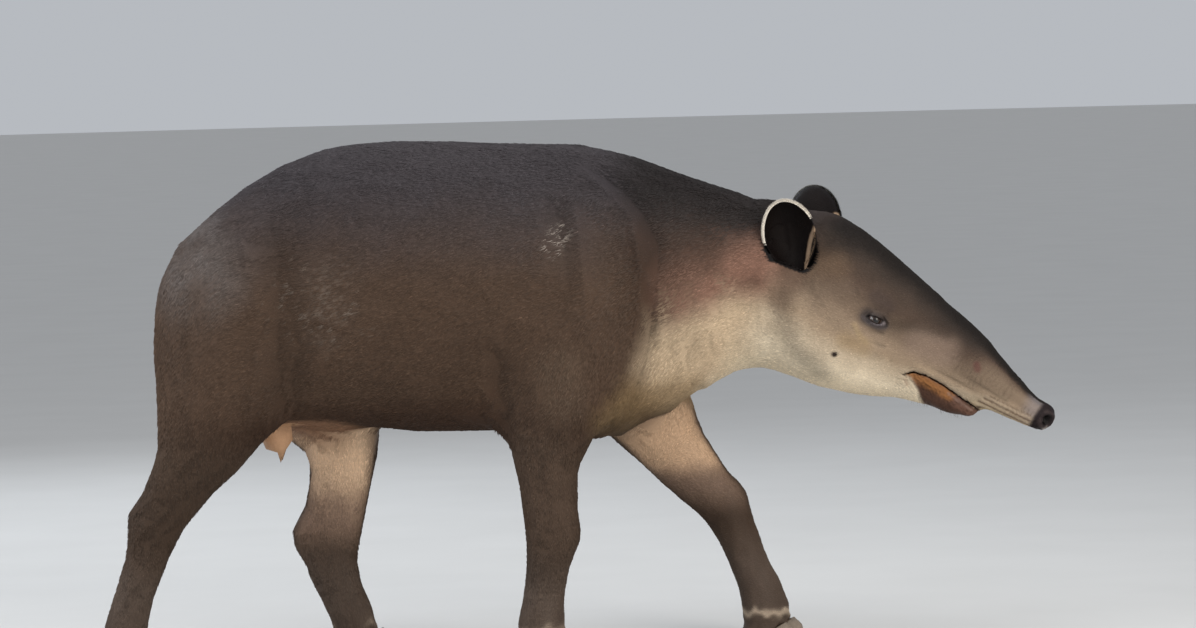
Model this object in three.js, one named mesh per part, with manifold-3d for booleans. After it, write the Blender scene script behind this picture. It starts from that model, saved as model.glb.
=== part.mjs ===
// A life-size Baird's tapir, walking, as a still model in separate named solids.
// Millimetres. +X is the way it walks, +Y its left, +Z up, and the floor is Z = 0.

import * as THREE from "three";
import Module from "manifold-3d";
import { mergeVertices } from "three/addons/utils/BufferGeometryUtils.js";

const wasm = await Module();
wasm.setup();

// The gap between touching solids.
const GAP = 0.3;
// Points of one mesh that are nearer than this are one point.
const SAME_POINT = 1e-3;
// Corners nearer than this are brought together.
const SHORTEST_EDGE = 0.04;
// Keeps a division by a distance from failing at the middle of an oval.
const TINY = 1e-6;

// The trunk: sections square to X, from the rump to the throat.
// top and bottom are heights, half is half the width, side is how far it bends to the left.
const TRUNK = [
  { x: -720, top: 846, bottom: 520, half: 140, side: 0 },
  { x: -640, top: 916, bottom: 476, half: 182, side: 0 },
  { x: -521, top: 983, bottom: 458, half: 210, side: 0 },
  { x: -403, top: 1009, bottom: 452, half: 228, side: 0 },
  { x: -265, top: 1011, bottom: 437, half: 232, side: 0 },
  { x: -127, top: 1003, bottom: 436, half: 222, side: 0 },
  { x: -9, top: 1000, bottom: 424, half: 202, side: 0 },
  { x: 79, top: 989, bottom: 416, half: 180, side: -1 },
  { x: 158, top: 965, bottom: 450, half: 152, side: -3 },
  { x: 247, top: 929, bottom: 494, half: 120, side: -6 },
  { x: 326, top: 902, bottom: 538, half: 102, side: -10 },
  { x: 400, top: 872, bottom: 566, half: 92, side: -14 },
];
const TRUNK_WIDEST = 0.44;
const TRUNK_ROUNDNESS = 2.15;
const RUMP_DEPTH = 62;
const THROAT_DEPTH = 90;

// Limbs: fore is the half thickness along the way it walks, side the half thickness across.
// y is the distance from the middle plane.
const RIGHT_FORELEG = [
  { x: 22, y: 112, z: 690, fore: 118, side: 78 },
  { x: -6, y: 124, z: 560, fore: 108, side: 80 },
  { x: -30, y: 128, z: 451, fore: 84, side: 68 },
  { x: -41, y: 125, z: 402, fore: 70, side: 58 },
  { x: -41, y: 120, z: 338, fore: 60, side: 49 },
  { x: -39, y: 116, z: 287, fore: 55, side: 44 },
  { x: -39, y: 113, z: 234, fore: 50, side: 43 },
  { x: -44, y: 111, z: 188, fore: 45, side: 38 },
  { x: -52, y: 110, z: 137, fore: 40, side: 36 },
  { x: -58, y: 110, z: 98, fore: 42, side: 40 },
  { x: -62, y: 110, z: 60, fore: 47, side: 46 },
];
const LEFT_FORELEG = [
  { x: 70, y: 108, z: 690, fore: 112, side: 78 },
  { x: 118, y: 120, z: 560, fore: 100, side: 78 },
  { x: 165, y: 124, z: 452, fore: 88, side: 66 },
  { x: 205, y: 122, z: 388, fore: 70, side: 56 },
  { x: 258, y: 117, z: 322, fore: 58, side: 48 },
  { x: 303, y: 114, z: 268, fore: 49, side: 44 },
  { x: 332, y: 112, z: 208, fore: 42, side: 40 },
  { x: 355, y: 111, z: 146, fore: 39, side: 36 },
  { x: 374, y: 110, z: 100, fore: 43, side: 40 },
  { x: 384, y: 110, z: 60, fore: 48, side: 46 },
];
const RIGHT_HINDLEG = [
  { x: -612, y: 62, z: 790, fore: 118, side: 90 },
  { x: -632, y: 86, z: 700, fore: 168, side: 108 },
  { x: -656, y: 112, z: 600, fore: 150, side: 100 },
  { x: -684, y: 124, z: 510, fore: 118, side: 90 },
  { x: -708, y: 126, z: 442, fore: 92, side: 72 },
  { x: -745, y: 122, z: 381, fore: 67, side: 58 },
  { x: -784, y: 117, z: 318, fore: 55, side: 47 },
  { x: -812, y: 113, z: 264, fore: 48, side: 42 },
  { x: -830, y: 110, z: 209, fore: 42, side: 36 },
  { x: -853, y: 110, z: 147, fore: 38, side: 36 },
  { x: -868, y: 110, z: 98, fore: 41, side: 40 },
  { x: -876, y: 110, z: 60, fore: 45, side: 44 },
];
const LEFT_HINDLEG = [
  { x: -608, y: 62, z: 790, fore: 118, side: 90 },
  { x: -622, y: 86, z: 700, fore: 166, side: 108 },
  { x: -570, y: 114, z: 590, fore: 140, side: 98 },
  { x: -496, y: 124, z: 505, fore: 106, side: 88 },
  { x: -456, y: 125, z: 434, fore: 82, side: 70 },
  { x: -452, y: 121, z: 380, fore: 68, side: 58 },
  { x: -460, y: 116, z: 322, fore: 62, side: 47 },
  { x: -470, y: 113, z: 262, fore: 60, side: 43 },
  { x: -481, y: 111, z: 208, fore: 60, side: 39 },
  { x: -478, y: 110, z: 168, fore: 52, side: 36 },
  { x: -464, y: 110, z: 122, fore: 45, side: 38 },
  { x: -448, y: 110, z: 84, fore: 44, side: 42 },
  { x: -438, y: 110, z: 56, fore: 44, side: 44 },
];

// Feet: where each rests, how far its middle toe points outwards in degrees, and its toes.
const FORE_TOES = [
  { digit: 2, ahead: 26, out: -38, turn: -16, size: 0.84, lift: 0 },
  { digit: 3, ahead: 44, out: -2, turn: 0, size: 1, lift: 0 },
  { digit: 4, ahead: 24, out: 36, turn: 18, size: 0.88, lift: 0 },
  { digit: 5, ahead: -16, out: 50, turn: 48, size: 0.6, lift: 12 },
];
const HIND_TOES = [
  { digit: 2, ahead: 24, out: -35, turn: -18, size: 0.82, lift: 0 },
  { digit: 3, ahead: 42, out: 0, turn: 0, size: 1, lift: 0 },
  { digit: 4, ahead: 24, out: 35, turn: 18, size: 0.82, lift: 0 },
];
const FEET = {
  forefoot_right: { x: -62, y: -110, turn: 4, toes: FORE_TOES },
  forefoot_left: { x: 386, y: 110, turn: 4, toes: FORE_TOES },
  hindfoot_right: { x: -872, y: -110, turn: 5, toes: HIND_TOES },
  hindfoot_left: { x: -432, y: 110, turn: 5, toes: HIND_TOES },
};
const PAD = { long: 48, wide: 46, high: 42, back: 6, lift: 8 };
const TOE = { long: 32, wide: 19, high: 44 };
const HOOF_PROUD = 1.6;
const HOOF = { high: 36, slope: 0.55, back: -14 };
const TOES_BELOW = 130;

// The head's own axes: u from the nape to the nose, v up, w to the left.
const HEAD_ORIGIN = new THREE.Vector3(445, -15, 738);
const HEAD_PITCH = 33.7;
const HEAD_TURN = -14;
const HEAD_FROM = -260;

// The head's length is cut in stations of u; top and bottom are measured along v.
const HEAD = [
  { u: -60, top: 100, bottom: -150, half: 84 },
  { u: 0, top: 136, bottom: -172, half: 92 },
  { u: 60, top: 144, bottom: -176, half: 96 },
  { u: 131, top: 142, bottom: -172, half: 92 },
  { u: 195, top: 134, bottom: -154, half: 84 },
  { u: 263, top: 124, bottom: -125, half: 70 },
  { u: 330, top: 112, bottom: -88, half: 57 },
  { u: 392, top: 100, bottom: -66, half: 46 },
];
const SNOUT = [
  { u: 330, top: 110, bottom: -34, half: 54 },
  { u: 392, top: 100, bottom: -24, half: 49 },
  { u: 452, top: 85, bottom: -21, half: 41 },
  { u: 502, top: 71, bottom: -12, half: 34 },
  { u: 545, top: 58, bottom: -6, half: 30 },
  { u: 580, top: 61, bottom: 3, half: 32 },
];
const SNOUT_END = 20;
const LIP = [
  { u: 316, v: -56, high: 36, half: 44 },
  { u: 380, v: -43, high: 27, half: 38 },
  { u: 418, v: -37, high: 22, half: 33 },
  { u: 448, v: -32, high: 14, half: 25 },
];
const MOUTH = [
  { u: 306, v: -42 },
  { u: 320, v: -27 },
  { u: 345, v: -19 },
  { u: 380, v: -18 },
  { u: 415, v: -20 },
  { u: 450, v: -24 },
  { u: 500, v: -30 },
];
const MOUTH_GAP = 3;
const MOUTH_CORNER_GAP = 0.6;
// The proboscis starts at from; its region is drawn past the head's own ends.
const PROBOSCIS = { from: 398, end: 700, above: 240, below: -90 };

const EYE = { u: 203, v: 22, w: 69, radius: 14.5, looksAhead: 20, slopes: 8 };
const LID = { thick: 3.8, long: 37, high: 17, deep: 60 };
const NOSTRIL = { u: 598, v: 32, w: 15, wide: 9, high: 13, deep: 20 };
const CHEEK = { u: 118, v: -62, w: 48, long: 98, high: 84, thick: 46 };
const BROW = { u: 196, v: 44, w: 54, long: 44, high: 17, thick: 18 };

// Ears: a bowl whose mouth faces outwards. The centres are on the head's axes, and the left
// ear is held a little higher.
const EAR = { long: 75, wide: 52, deep: 44, wall: 5, rim: 6 };
const EAR_CENTRES = {
  right: { u: -20, v: 72, w: -99 },
  left: { u: -24, v: 92, w: 97 },
};
const EAR_LEAN_BACK = 8;
const EAR_LEAN_OUT = 15;

const TAIL = [
  { x: -742, z: 790, thick: 22 },
  { x: -771, z: 736, thick: 18 },
  { x: -785, z: 690, thick: 14 },
  { x: -790, z: 652, thick: 9 },
];
const UDDER = { x: -574, y: -14, z: 440, long: 33, wide: 38, high: 38 };
const TEAT = { x: -566, y: 17, z: 404, thick: 10, high: 20 };

// How far each part of the flesh runs into what carries it.
const MELT = { head: 60, legs: 46, cheeks: 26, bumps: 24, brows: 16, snout: 14, toes: 10, lip: 8 };
// How far from a limb its field is worked out, and what stands for it beyond.
const LIMB_REACH = 220;
const FAR = 200;

// How many facets each kind of oval has, round it and from end to end.
const FACETS = { plain: [14, 9], eye: [14, 10], ear: [16, 10], hoof: [10, 6], teat: [8, 6] };
const SOCKET_FACETS = 18;
const SOCKET_RINGS = 5;
const LID_FACETS = 6;

// Small things of vectors and numbers.
const radians = THREE.MathUtils.degToRad;
const clamp = THREE.MathUtils.clamp;

function blend(a, b, reach) {
  const h = Math.max(reach - Math.abs(a - b), 0) / reach;
  return Math.min(a, b) - (h * h * reach) / 4;
}

// A smooth line through the values that stations give, as a function of their place.
function through(stations, place, name) {
  const at = stations.map((station) => station[place]);
  const value = stations.map((station) => station[name]);
  const last = at.length - 1;
  const slope = value.map((_, i) => {
    const before = Math.max(i - 1, 0);
    const after = Math.min(i + 1, last);
    return (value[after] - value[before]) / (at[after] - at[before]);
  });
  return (where) => {
    const t = clamp(where, at[0], at[last]);
    let i = 0;
    while (i < last - 1 && t > at[i + 1]) i += 1;
    const span = at[i + 1] - at[i];
    const h = (t - at[i]) / span;
    const bend = h * h * (3 - 2 * h);
    const lift = h * (1 - h) * (1 - h) * slope[i] - h * h * (1 - h) * slope[i + 1];
    return value[i] + (value[i + 1] - value[i]) * bend + lift * span;
  };
}

// How far a point is outside a lofted body, whose sections are two half ovals on one widest line.
function loft(stations, place, { widest, roundness, startDepth, endDepth }) {
  const names = ["top", "bottom", "half", "side"];
  const line = {};
  for (const name of names) {
    line[name] = name in stations[0] ? through(stations, place, name) : () => 0;
  }
  const start = stations[0][place];
  const end = stations[stations.length - 1][place];
  return (along, across, up) => {
    const t = clamp(along, start, end);
    const top = line.top(t);
    const bottom = line.bottom(t);
    const middle = bottom + widest * (top - bottom);
    const rise = up > middle ? (up - middle) / (top - middle) : (middle - up) / (middle - bottom);
    const sideways = Math.abs(across - line.side(t)) / line.half(t);
    const past = along < start ? (start - along) / startDepth : (along - t) / endDepth;
    const oval = (sideways ** roundness + rise ** roundness) ** (1 / roundness);
    const ratio = Math.hypot(oval, past) + TINY;
    const reach = Math.hypot(along - t, across - line.side(t), up - middle);
    return reach * (1 - 1 / ratio);
  };
}

// How far a point is outside a tube of oval section through the stations.
function tube(stations, steps = 4) {
  const centres = stations.map((s) => new THREE.Vector3(s.x, s.y, s.z));
  const sizes = stations.map((s) => new THREE.Vector3(s.fore, s.side, 0));
  const route = new THREE.CatmullRomCurve3(centres);
  const girth = new THREE.CatmullRomCurve3(sizes);
  const count = (stations.length - 1) * steps;
  const links = [];
  for (let i = 0; i < count; i += 1) {
    const from = route.getPoint(i / count);
    const to = route.getPoint((i + 1) / count);
    const span = to.clone().sub(from);
    const length = span.length();
    const along = span.divideScalar(length);
    const across = new THREE.Vector3(0, 1, 0).addScaledVector(along, -along.y).normalize();
    const fore = new THREE.Vector3().crossVectors(along, across);
    const first = girth.getPoint(i / count);
    const second = girth.getPoint((i + 1) / count);
    links.push({ from, along, across, fore, length, first, second });
  }
  const box = new THREE.Box3().setFromPoints(centres).expandByScalar(LIMB_REACH);
  const offset = new THREE.Vector3();
  return (point) => {
    if (!box.containsPoint(point)) return FAR;
    let nearest = Infinity;
    for (const link of links) {
      offset.subVectors(point, link.from);
      const t = clamp(offset.dot(link.along), 0, link.length);
      const h = t / link.length;
      const foreSize = link.first.x + (link.second.x - link.first.x) * h;
      const sideSize = link.first.y + (link.second.y - link.first.y) * h;
      offset.addScaledVector(link.along, -t);
      const past = offset.dot(link.along) / Math.min(foreSize, sideSize);
      const ratio = Math.hypot(offset.dot(link.fore) / foreSize, offset.dot(link.across) / sideSize, past);
      const distance = offset.length() * (1 - 1 / (ratio + TINY));
      nearest = Math.min(nearest, distance);
    }
    return nearest;
  };
}

// How far a point is outside an oval ball with the given axes.
function ball(centre, size, axes) {
  const offset = new THREE.Vector3();
  return (point) => {
    offset.subVectors(point, centre);
    const a = offset.dot(axes[0]) / size.x;
    const b = offset.dot(axes[1]) / size.y;
    const c = offset.dot(axes[2]) / size.z;
    const ratio = Math.hypot(a, b, c) + TINY;
    return offset.length() * (1 - 1 / ratio);
  };
}

const WORLD_AXES = [
  new THREE.Vector3(1, 0, 0),
  new THREE.Vector3(0, 1, 0),
  new THREE.Vector3(0, 0, 1),
];

// The head's place as a matrix: u, w and v are its local X, Y and Z.
const headPlace = new THREE.Matrix4()
  .makeTranslation(HEAD_ORIGIN.x, HEAD_ORIGIN.y, HEAD_ORIGIN.z)
  .multiply(new THREE.Matrix4().makeRotationZ(radians(HEAD_TURN)))
  .multiply(new THREE.Matrix4().makeRotationY(radians(HEAD_PITCH)));
const headInverse = headPlace.clone().invert();
const onHead = (u, v, w) => new THREE.Vector3(u, w, v).applyMatrix4(headPlace);
const headAxes = [0, 1, 2].map((i) => new THREE.Vector3().setFromMatrixColumn(headPlace, i));

// The flesh of each part as a function of a point, negative inside.
const trunkLoft = loft(TRUNK, "x", {
  widest: TRUNK_WIDEST,
  roundness: TRUNK_ROUNDNESS,
  startDepth: RUMP_DEPTH,
  endDepth: THROAT_DEPTH,
});
const headLoft = loft(HEAD, "u", { widest: 0.46, roundness: 2, startDepth: 60, endDepth: 60 });
const snoutLoft = loft(SNOUT, "u", { widest: 0.45, roundness: 2.1, startDepth: 60, endDepth: SNOUT_END });

function lipTube() {
  const stations = LIP.map((s) => ({ x: s.u, y: 0, z: s.v, fore: s.high, side: s.half }));
  return tube(stations);
}
const lip = lipTube();

function onBothSides(shape) {
  const centre = (sign) => new THREE.Vector3(shape.u, sign * shape.w, shape.v);
  const size = new THREE.Vector3(shape.long, shape.thick, shape.high);
  const left = ball(centre(1), size, WORLD_AXES);
  const right = ball(centre(-1), size, WORLD_AXES);
  return (point) => Math.min(left(point), right(point));
}
const cheeks = onBothSides(CHEEK);
const brows = onBothSides(BROW);

const local = new THREE.Vector3();
function headFlesh(point) {
  local.copy(point).applyMatrix4(headInverse);
  if (local.x < HEAD_FROM) return FAR;
  let flesh = headLoft(local.x, local.y, local.z);
  flesh = blend(flesh, cheeks(local), MELT.cheeks);
  flesh = blend(flesh, brows(local), MELT.brows);
  flesh = blend(flesh, snoutLoft(local.x, local.y, local.z), MELT.snout);
  return blend(flesh, lip(local), MELT.lip);
}

const mirrored = (stations, sign) => stations.map((s) => ({ ...s, y: s.y * sign }));
const limbs = {
  foreleg_right: tube(mirrored(RIGHT_FORELEG, -1)),
  foreleg_left: tube(LEFT_FORELEG),
  hindleg_right: tube(mirrored(RIGHT_HINDLEG, -1)),
  hindleg_left: tube(LEFT_HINDLEG),
};

// Joints that stand out under the hide: knee fronts, elbow points, hocks and stifles.
const BUMPS = [
  { at: [-12, -113, 236], size: [30, 36, 40] },
  { at: [322, 113, 276], size: [28, 36, 36] },
  { at: [-98, -128, 470], size: [38, 36, 52] },
  { at: [112, 124, 452], size: [42, 36, 50] },
  { at: [-844, -113, 283], size: [19, 24, 42] },
  { at: [-528, 113, 230], size: [27, 26, 52] },
  { at: [-612, -142, 520], size: [62, 44, 74] },
  { at: [-430, 138, 520], size: [60, 44, 70] },
];
const bumps = BUMPS.map((b) => ball(new THREE.Vector3(...b.at), new THREE.Vector3(...b.size), WORLD_AXES));

// A foot's or a hoof's axes: ahead, to its left and up.
function footAxes(heading) {
  return [
    new THREE.Vector3(Math.cos(heading), Math.sin(heading), 0),
    new THREE.Vector3(-Math.sin(heading), Math.cos(heading), 0),
    new THREE.Vector3(0, 0, 1),
  ];
}

const toePlaces = {};
const padSize = new THREE.Vector3(PAD.long, PAD.wide, PAD.high);
const toeSize = new THREE.Vector3(TOE.long, TOE.wide, TOE.high);
const pads = [];
for (const [name, foot] of Object.entries(FEET)) {
  const side = Math.sign(foot.y);
  toePlaces[name] = foot.toes.map((toe) => {
    const heading = radians(side * (foot.turn + toe.turn));
    const swing = radians(side * foot.turn);
    const ahead = toe.ahead * Math.cos(swing) - side * toe.out * Math.sin(swing);
    const across = toe.ahead * Math.sin(swing) + side * toe.out * Math.cos(swing);
    return {
      digit: toe.digit,
      size: toe.size,
      centre: new THREE.Vector3(foot.x + ahead, foot.y + across, toe.lift),
      heading,
    };
  });
  pads.push(ball(new THREE.Vector3(foot.x - PAD.back, foot.y, PAD.lift), padSize, WORLD_AXES));
  for (const toe of toePlaces[name]) {
    const size = toeSize.clone().multiplyScalar(toe.size).subScalar(HOOF_PROUD);
    pads.push(ball(toe.centre, size, footAxes(toe.heading)));
  }
}

const least = (fields, point) => fields.reduce((low, field) => Math.min(low, field(point)), Infinity);

function flesh(point) {
  let body = trunkLoft(point.x, point.y, point.z);
  body = blend(body, headFlesh(point), MELT.head);
  let legs = blend(least(Object.values(limbs), point), least(bumps, point), MELT.bumps);
  if (point.z < TOES_BELOW) legs = blend(legs, least(pads, point), MELT.toes);
  return blend(body, legs, MELT.legs);
}

// The three steps of a lattice, each with the two that follow it.
const TURNS = [
  [[1, 0, 0], [0, 1, 0], [0, 0, 1]],
  [[0, 1, 0], [0, 0, 1], [1, 0, 0]],
  [[0, 0, 1], [1, 0, 0], [0, 1, 0]],
];

// A closed surface where a function is zero, from a lattice of cells in a turned box.
function surfaceOf(field, place, low, high, cell) {
  const counts = ["x", "y", "z"].map((axis) => Math.round((high[axis] - low[axis]) / cell[axis]));
  const [nx, ny, nz] = counts.map((count) => count + 1);
  const point = new THREE.Vector3();
  const corner = (i, j, k) => (i * ny + j) * nz + k;
  const values = new Float64Array(nx * ny * nz);
  const pointAt = (i, j, k) =>
    point.set(low.x + i * cell.x, low.y + j * cell.y, low.z + k * cell.z).applyMatrix4(place);
  for (let i = 0; i < nx; i += 1) {
    for (let j = 0; j < ny; j += 1) {
      for (let k = 0; k < nz; k += 1) {
        const edge = i === 0 || j === 0 || k === 0 || i === nx - 1 || j === ny - 1 || k === nz - 1;
        const value = field(pointAt(i, j, k));
        values[corner(i, j, k)] = edge ? Math.max(value, 1) : value;
      }
    }
  }
  settleSigns(values, [nx, ny, nz], corner);
  const vertexOf = new Map();
  const positions = [];
  const free = [];
  for (let i = 0; i < nx - 1; i += 1) {
    for (let j = 0; j < ny - 1; j += 1) {
      for (let k = 0; k < nz - 1; k += 1) {
        const sum = new THREE.Vector3();
        let crossings = 0;
        for (const [a, b] of CELL_EDGES) {
          const va = values[corner(i + a[0], j + a[1], k + a[2])];
          const vb = values[corner(i + b[0], j + b[1], k + b[2])];
          if (va < 0 === vb < 0) continue;
          const t = va / (va - vb);
          sum.x += i + a[0] + t * (b[0] - a[0]);
          sum.y += j + a[1] + t * (b[1] - a[1]);
          sum.z += k + a[2] + t * (b[2] - a[2]);
          crossings += 1;
        }
        if (!crossings) continue;
        sum.divideScalar(crossings);
        vertexOf.set(corner(i, j, k), positions.length);
        positions.push(pointAt(sum.x, sum.y, sum.z).clone());
        const inner = [i, j, k].every((n, axis) => n > 0 && n < counts[axis] - 1);
        free.push(inner);
      }
    }
  }
  const faces = [];
  const addQuad = (a, b, c, d, flip) => {
    const quad = flip ? [a, d, c, b] : [a, b, c, d];
    const [p, q, r, s] = quad.map((n) => positions[n]);
    const split = p.distanceToSquared(r) <= q.distanceToSquared(s);
    const [e, f, g, h] = quad;
    faces.push(...(split ? [e, f, g, e, g, h] : [f, g, h, f, h, e]));
  };
  const neighbours = positions.map(() => new Set());
  for (let i = 0; i < nx - 1; i += 1) {
    for (let j = 0; j < ny - 1; j += 1) {
      for (let k = 0; k < nz - 1; k += 1) {
        const here = values[corner(i, j, k)] < 0;
        for (const [step, s, t] of TURNS) {
          const there = values[corner(i + step[0], j + step[1], k + step[2])] < 0;
          if (here === there) continue;
          const cellAt = (m, n) =>
            vertexOf.get(corner(i - m * s[0] - n * t[0], j - m * s[1] - n * t[1], k - m * s[2] - n * t[2]));
          const ring = [cellAt(0, 0), cellAt(1, 0), cellAt(1, 1), cellAt(0, 1)];
          addQuad(...ring, !here);
          ring.forEach((n, r) => {
            neighbours[n].add(ring[(r + 1) % 4]);
            neighbours[n].add(ring[(r + 3) % 4]);
          });
        }
      }
    }
  }
  settle(field, positions, free, neighbours, Math.min(cell.x, cell.y, cell.z));
  const geometry = new THREE.BufferGeometry();
  const numbers = positions.flatMap((p) => p.toArray());
  geometry.setAttribute("position", new THREE.Float32BufferAttribute(numbers, 3));
  geometry.setIndex(faces);
  return geometry;
}

// A face whose corners are inside and outside by turns would join two sheets in one edge,
// so the outer corner that is nearest to the surface is taken as inside.
function settleSigns(values, [nx, ny, nz], corner) {
  const inside = -1e-3;
  const faces = TURNS.map(([first, second]) => [first, second]);
  let changed = true;
  while (changed) {
    changed = false;
    for (let i = 1; i < nx - 2; i += 1) {
      for (let j = 1; j < ny - 2; j += 1) {
        for (let k = 1; k < nz - 2; k += 1) {
          for (const [s, t] of faces) {
            const a = corner(i, j, k);
            const b = corner(i + s[0], j + s[1], k + s[2]);
            const c = corner(i + s[0] + t[0], j + s[1] + t[1], k + s[2] + t[2]);
            const d = corner(i + t[0], j + t[1], k + t[2]);
            const [first, second] = [values[a] < 0, values[b] < 0];
            if (values[c] < 0 !== first || values[d] < 0 !== second || first === second) continue;
            const outer = first ? [b, d] : [a, c];
            values[values[outer[0]] < values[outer[1]] ? outer[0] : outer[1]] = inside;
            changed = true;
          }
        }
      }
    }
  }
}

// The twelve edges of a cell, as pairs of corners.
const CELL_EDGES = [];
for (const axis of [0, 1, 2]) {
  for (const m of [0, 1]) {
    for (const n of [0, 1]) {
      const from = [0, 0, 0];
      from[(axis + 1) % 3] = m;
      from[(axis + 2) % 3] = n;
      const to = [...from];
      to[axis] = 1;
      CELL_EDGES.push([from, to]);
    }
  }
}

const SETTLING_ROUNDS = 4;
const GENTLEST_SLOPE = 0.2;

// Vertices are evened out between their neighbours and drawn back on to the surface.
function settle(field, positions, free, neighbours, size) {
  const probe = new THREE.Vector3();
  const slopeAt = (point) => {
    const slope = new THREE.Vector3();
    for (const axis of ["x", "y", "z"]) {
      probe.copy(point);
      probe[axis] += 1;
      const ahead = field(probe);
      probe[axis] -= 2;
      slope[axis] = (ahead - field(probe)) / 2;
    }
    return slope;
  };
  const draw = (point) => {
    const slope = slopeAt(point);
    const steep = Math.max(slope.lengthSq(), GENTLEST_SLOPE ** 2);
    const step = slope.multiplyScalar(-field(point) / steep).clampLength(0, size);
    return point.add(step);
  };
  for (let round = 0; round < SETTLING_ROUNDS; round += 1) {
    const moved = positions.map((position, n) => {
      if (!free[n]) return position;
      const middle = new THREE.Vector3();
      for (const other of neighbours[n]) middle.add(positions[other]);
      middle.divideScalar(neighbours[n].size);
      const goal = position.clone().lerp(middle, 0.5);
      return draw(draw(goal));
    });
    moved.forEach((position, n) => positions[n].copy(position));
  }
}

// Solids: joining and cutting.
function solidOf(geometry) {
  const bare = geometry.clone();
  bare.deleteAttribute("normal");
  bare.deleteAttribute("uv");
  const merged = mergeVertices(bare, SAME_POINT);
  const mesh = new wasm.Mesh({
    numProp: 3,
    vertProperties: new Float32Array(merged.attributes.position.array),
    triVerts: new Uint32Array(merged.index.array),
  });
  return new wasm.Manifold(mesh);
}

function collapseShortEdges(positions, triangles) {
  const cornersOf = new Map();
  triangles.forEach((triangle, t) => {
    for (const corner of triangle) {
      if (!cornersOf.has(corner)) cornersOf.set(corner, new Set());
      cornersOf.get(corner).add(t);
    }
  });
  const around = (corner) => {
    const ring = new Set([...cornersOf.get(corner)].flatMap((t) => triangles[t]));
    ring.delete(corner);
    return ring;
  };
  const join = (kept, lost) => {
    for (const t of cornersOf.get(lost)) {
      if (triangles[t].includes(kept)) {
        for (const corner of triangles[t]) cornersOf.get(corner).delete(t);
        triangles[t] = [];
      } else {
        triangles[t] = triangles[t].map((corner) => (corner === lost ? kept : corner));
        cornersOf.get(kept).add(t);
      }
    }
    cornersOf.set(lost, new Set());
  };
  for (let t = 0; t < triangles.length; t += 1) {
    for (const [m, n] of [[0, 1], [1, 2], [2, 0]]) {
      const [a, b] = [triangles[t][m], triangles[t][n]];
      if (a === undefined || positions[a].distanceTo(positions[b]) > SHORTEST_EDGE) continue;
      const shared = [...around(a)].filter((corner) => around(b).has(corner));
      if (shared.length === 2) join(a, b);
    }
  }
  return triangles.filter((triangle) => triangle.length === 3);
}

function geometryOf(solid) {
  const { vertProperties, triVerts } = solid.getMesh();
  const positions = [];
  for (let i = 0; i < vertProperties.length; i += 3) {
    positions.push(new THREE.Vector3().fromArray(vertProperties, i));
  }
  const triangles = [];
  for (let i = 0; i < triVerts.length; i += 3) triangles.push([...triVerts.slice(i, i + 3)]);
  const kept = collapseShortEdges(positions, triangles);
  const geometry = new THREE.BufferGeometry();
  geometry.setAttribute("position", new THREE.Float32BufferAttribute([...vertProperties], 3));
  geometry.setIndex(kept.flat());
  const bare = mergeVertices(geometry, SAME_POINT);
  bare.computeVertexNormals();
  return bare;
}

const largest = (solid) =>
  solid.decompose().reduce((best, piece) => (piece.volume() > best.volume() ? piece : best));

// Keeps what lies behind a plane, short of it by half the gap.
function behind(solid, point, normal) {
  const n = new THREE.Vector3(...normal).normalize();
  return solid.trimByPlane(n.clone().negate().toArray(), -(n.dot(point) - GAP / 2));
}
const ahead = (solid, point, normal) => behind(solid, point, normal.map((c) => -c));

function ovalSolid(centre, size, axes, facets = FACETS.plain) {
  const geometry = new THREE.SphereGeometry(1, ...facets);
  const matrix = new THREE.Matrix4().makeBasis(...axes).scale(size).setPosition(centre);
  return solidOf(geometry.applyMatrix4(matrix));
}

function boxSolid(low, high) {
  const size = new THREE.Vector3().subVectors(high, low);
  const geometry = new THREE.BoxGeometry(size.x, size.y, size.z);
  const middle = new THREE.Vector3().addVectors(low, high).multiplyScalar(0.5);
  return solidOf(geometry.translate(middle.x, middle.y, middle.z));
}

const vector = (x, y, z) => new THREE.Vector3(x, y, z);
const upright = new THREE.Matrix4();

// Where the torso gives way to each leg: a dome, and all that is lower than the belly.
const BELLY_LEVEL = 408;
const SOCKET_BELOW_BELLY = 20;
const LEG_SOCKETS = {
  foreleg_right: { x: -24, y: -136, z: 430, fore: 132, side: 98, high: 120 },
  foreleg_left: { x: 168, y: 134, z: 440, fore: 138, side: 96, high: 110 },
  thigh_right: { x: -690, y: -134, z: 540, fore: 176, side: 100, high: 150 },
  thigh_left: { x: -505, y: 134, z: 510, fore: 172, side: 100, high: 150 },
};

function socketSolid({ x, y, z, fore, side, high }, spare) {
  const rim = BELLY_LEVEL - SOCKET_BELOW_BELLY;
  const profile = [new THREE.Vector2(0, rim), new THREE.Vector2(1, rim), new THREE.Vector2(1, z)];
  for (let i = 1; i <= SOCKET_RINGS; i += 1) {
    const angle = (Math.PI / 2) * (i / SOCKET_RINGS);
    profile.push(new THREE.Vector2(Math.cos(angle), z + (high - spare) * Math.sin(angle)));
  }
  profile[profile.length - 1].x = 0;
  const geometry = new THREE.LatheGeometry(profile, SOCKET_FACETS);
  geometry.rotateX(Math.PI / 2);
  geometry.scale(fore - spare, side - spare, 1);
  geometry.translate(x, y, 0);
  return solidOf(geometry);
}

// The whole torso region, and each leg region, taken from one flesh.
const neckPlane = { point: vector(222, 0, 754), normal: [0.983, 0, 0.185] };
const headPlane = { point: vector(392, -14, 720), normal: [0.996, -0.06, -0.05] };

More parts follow.
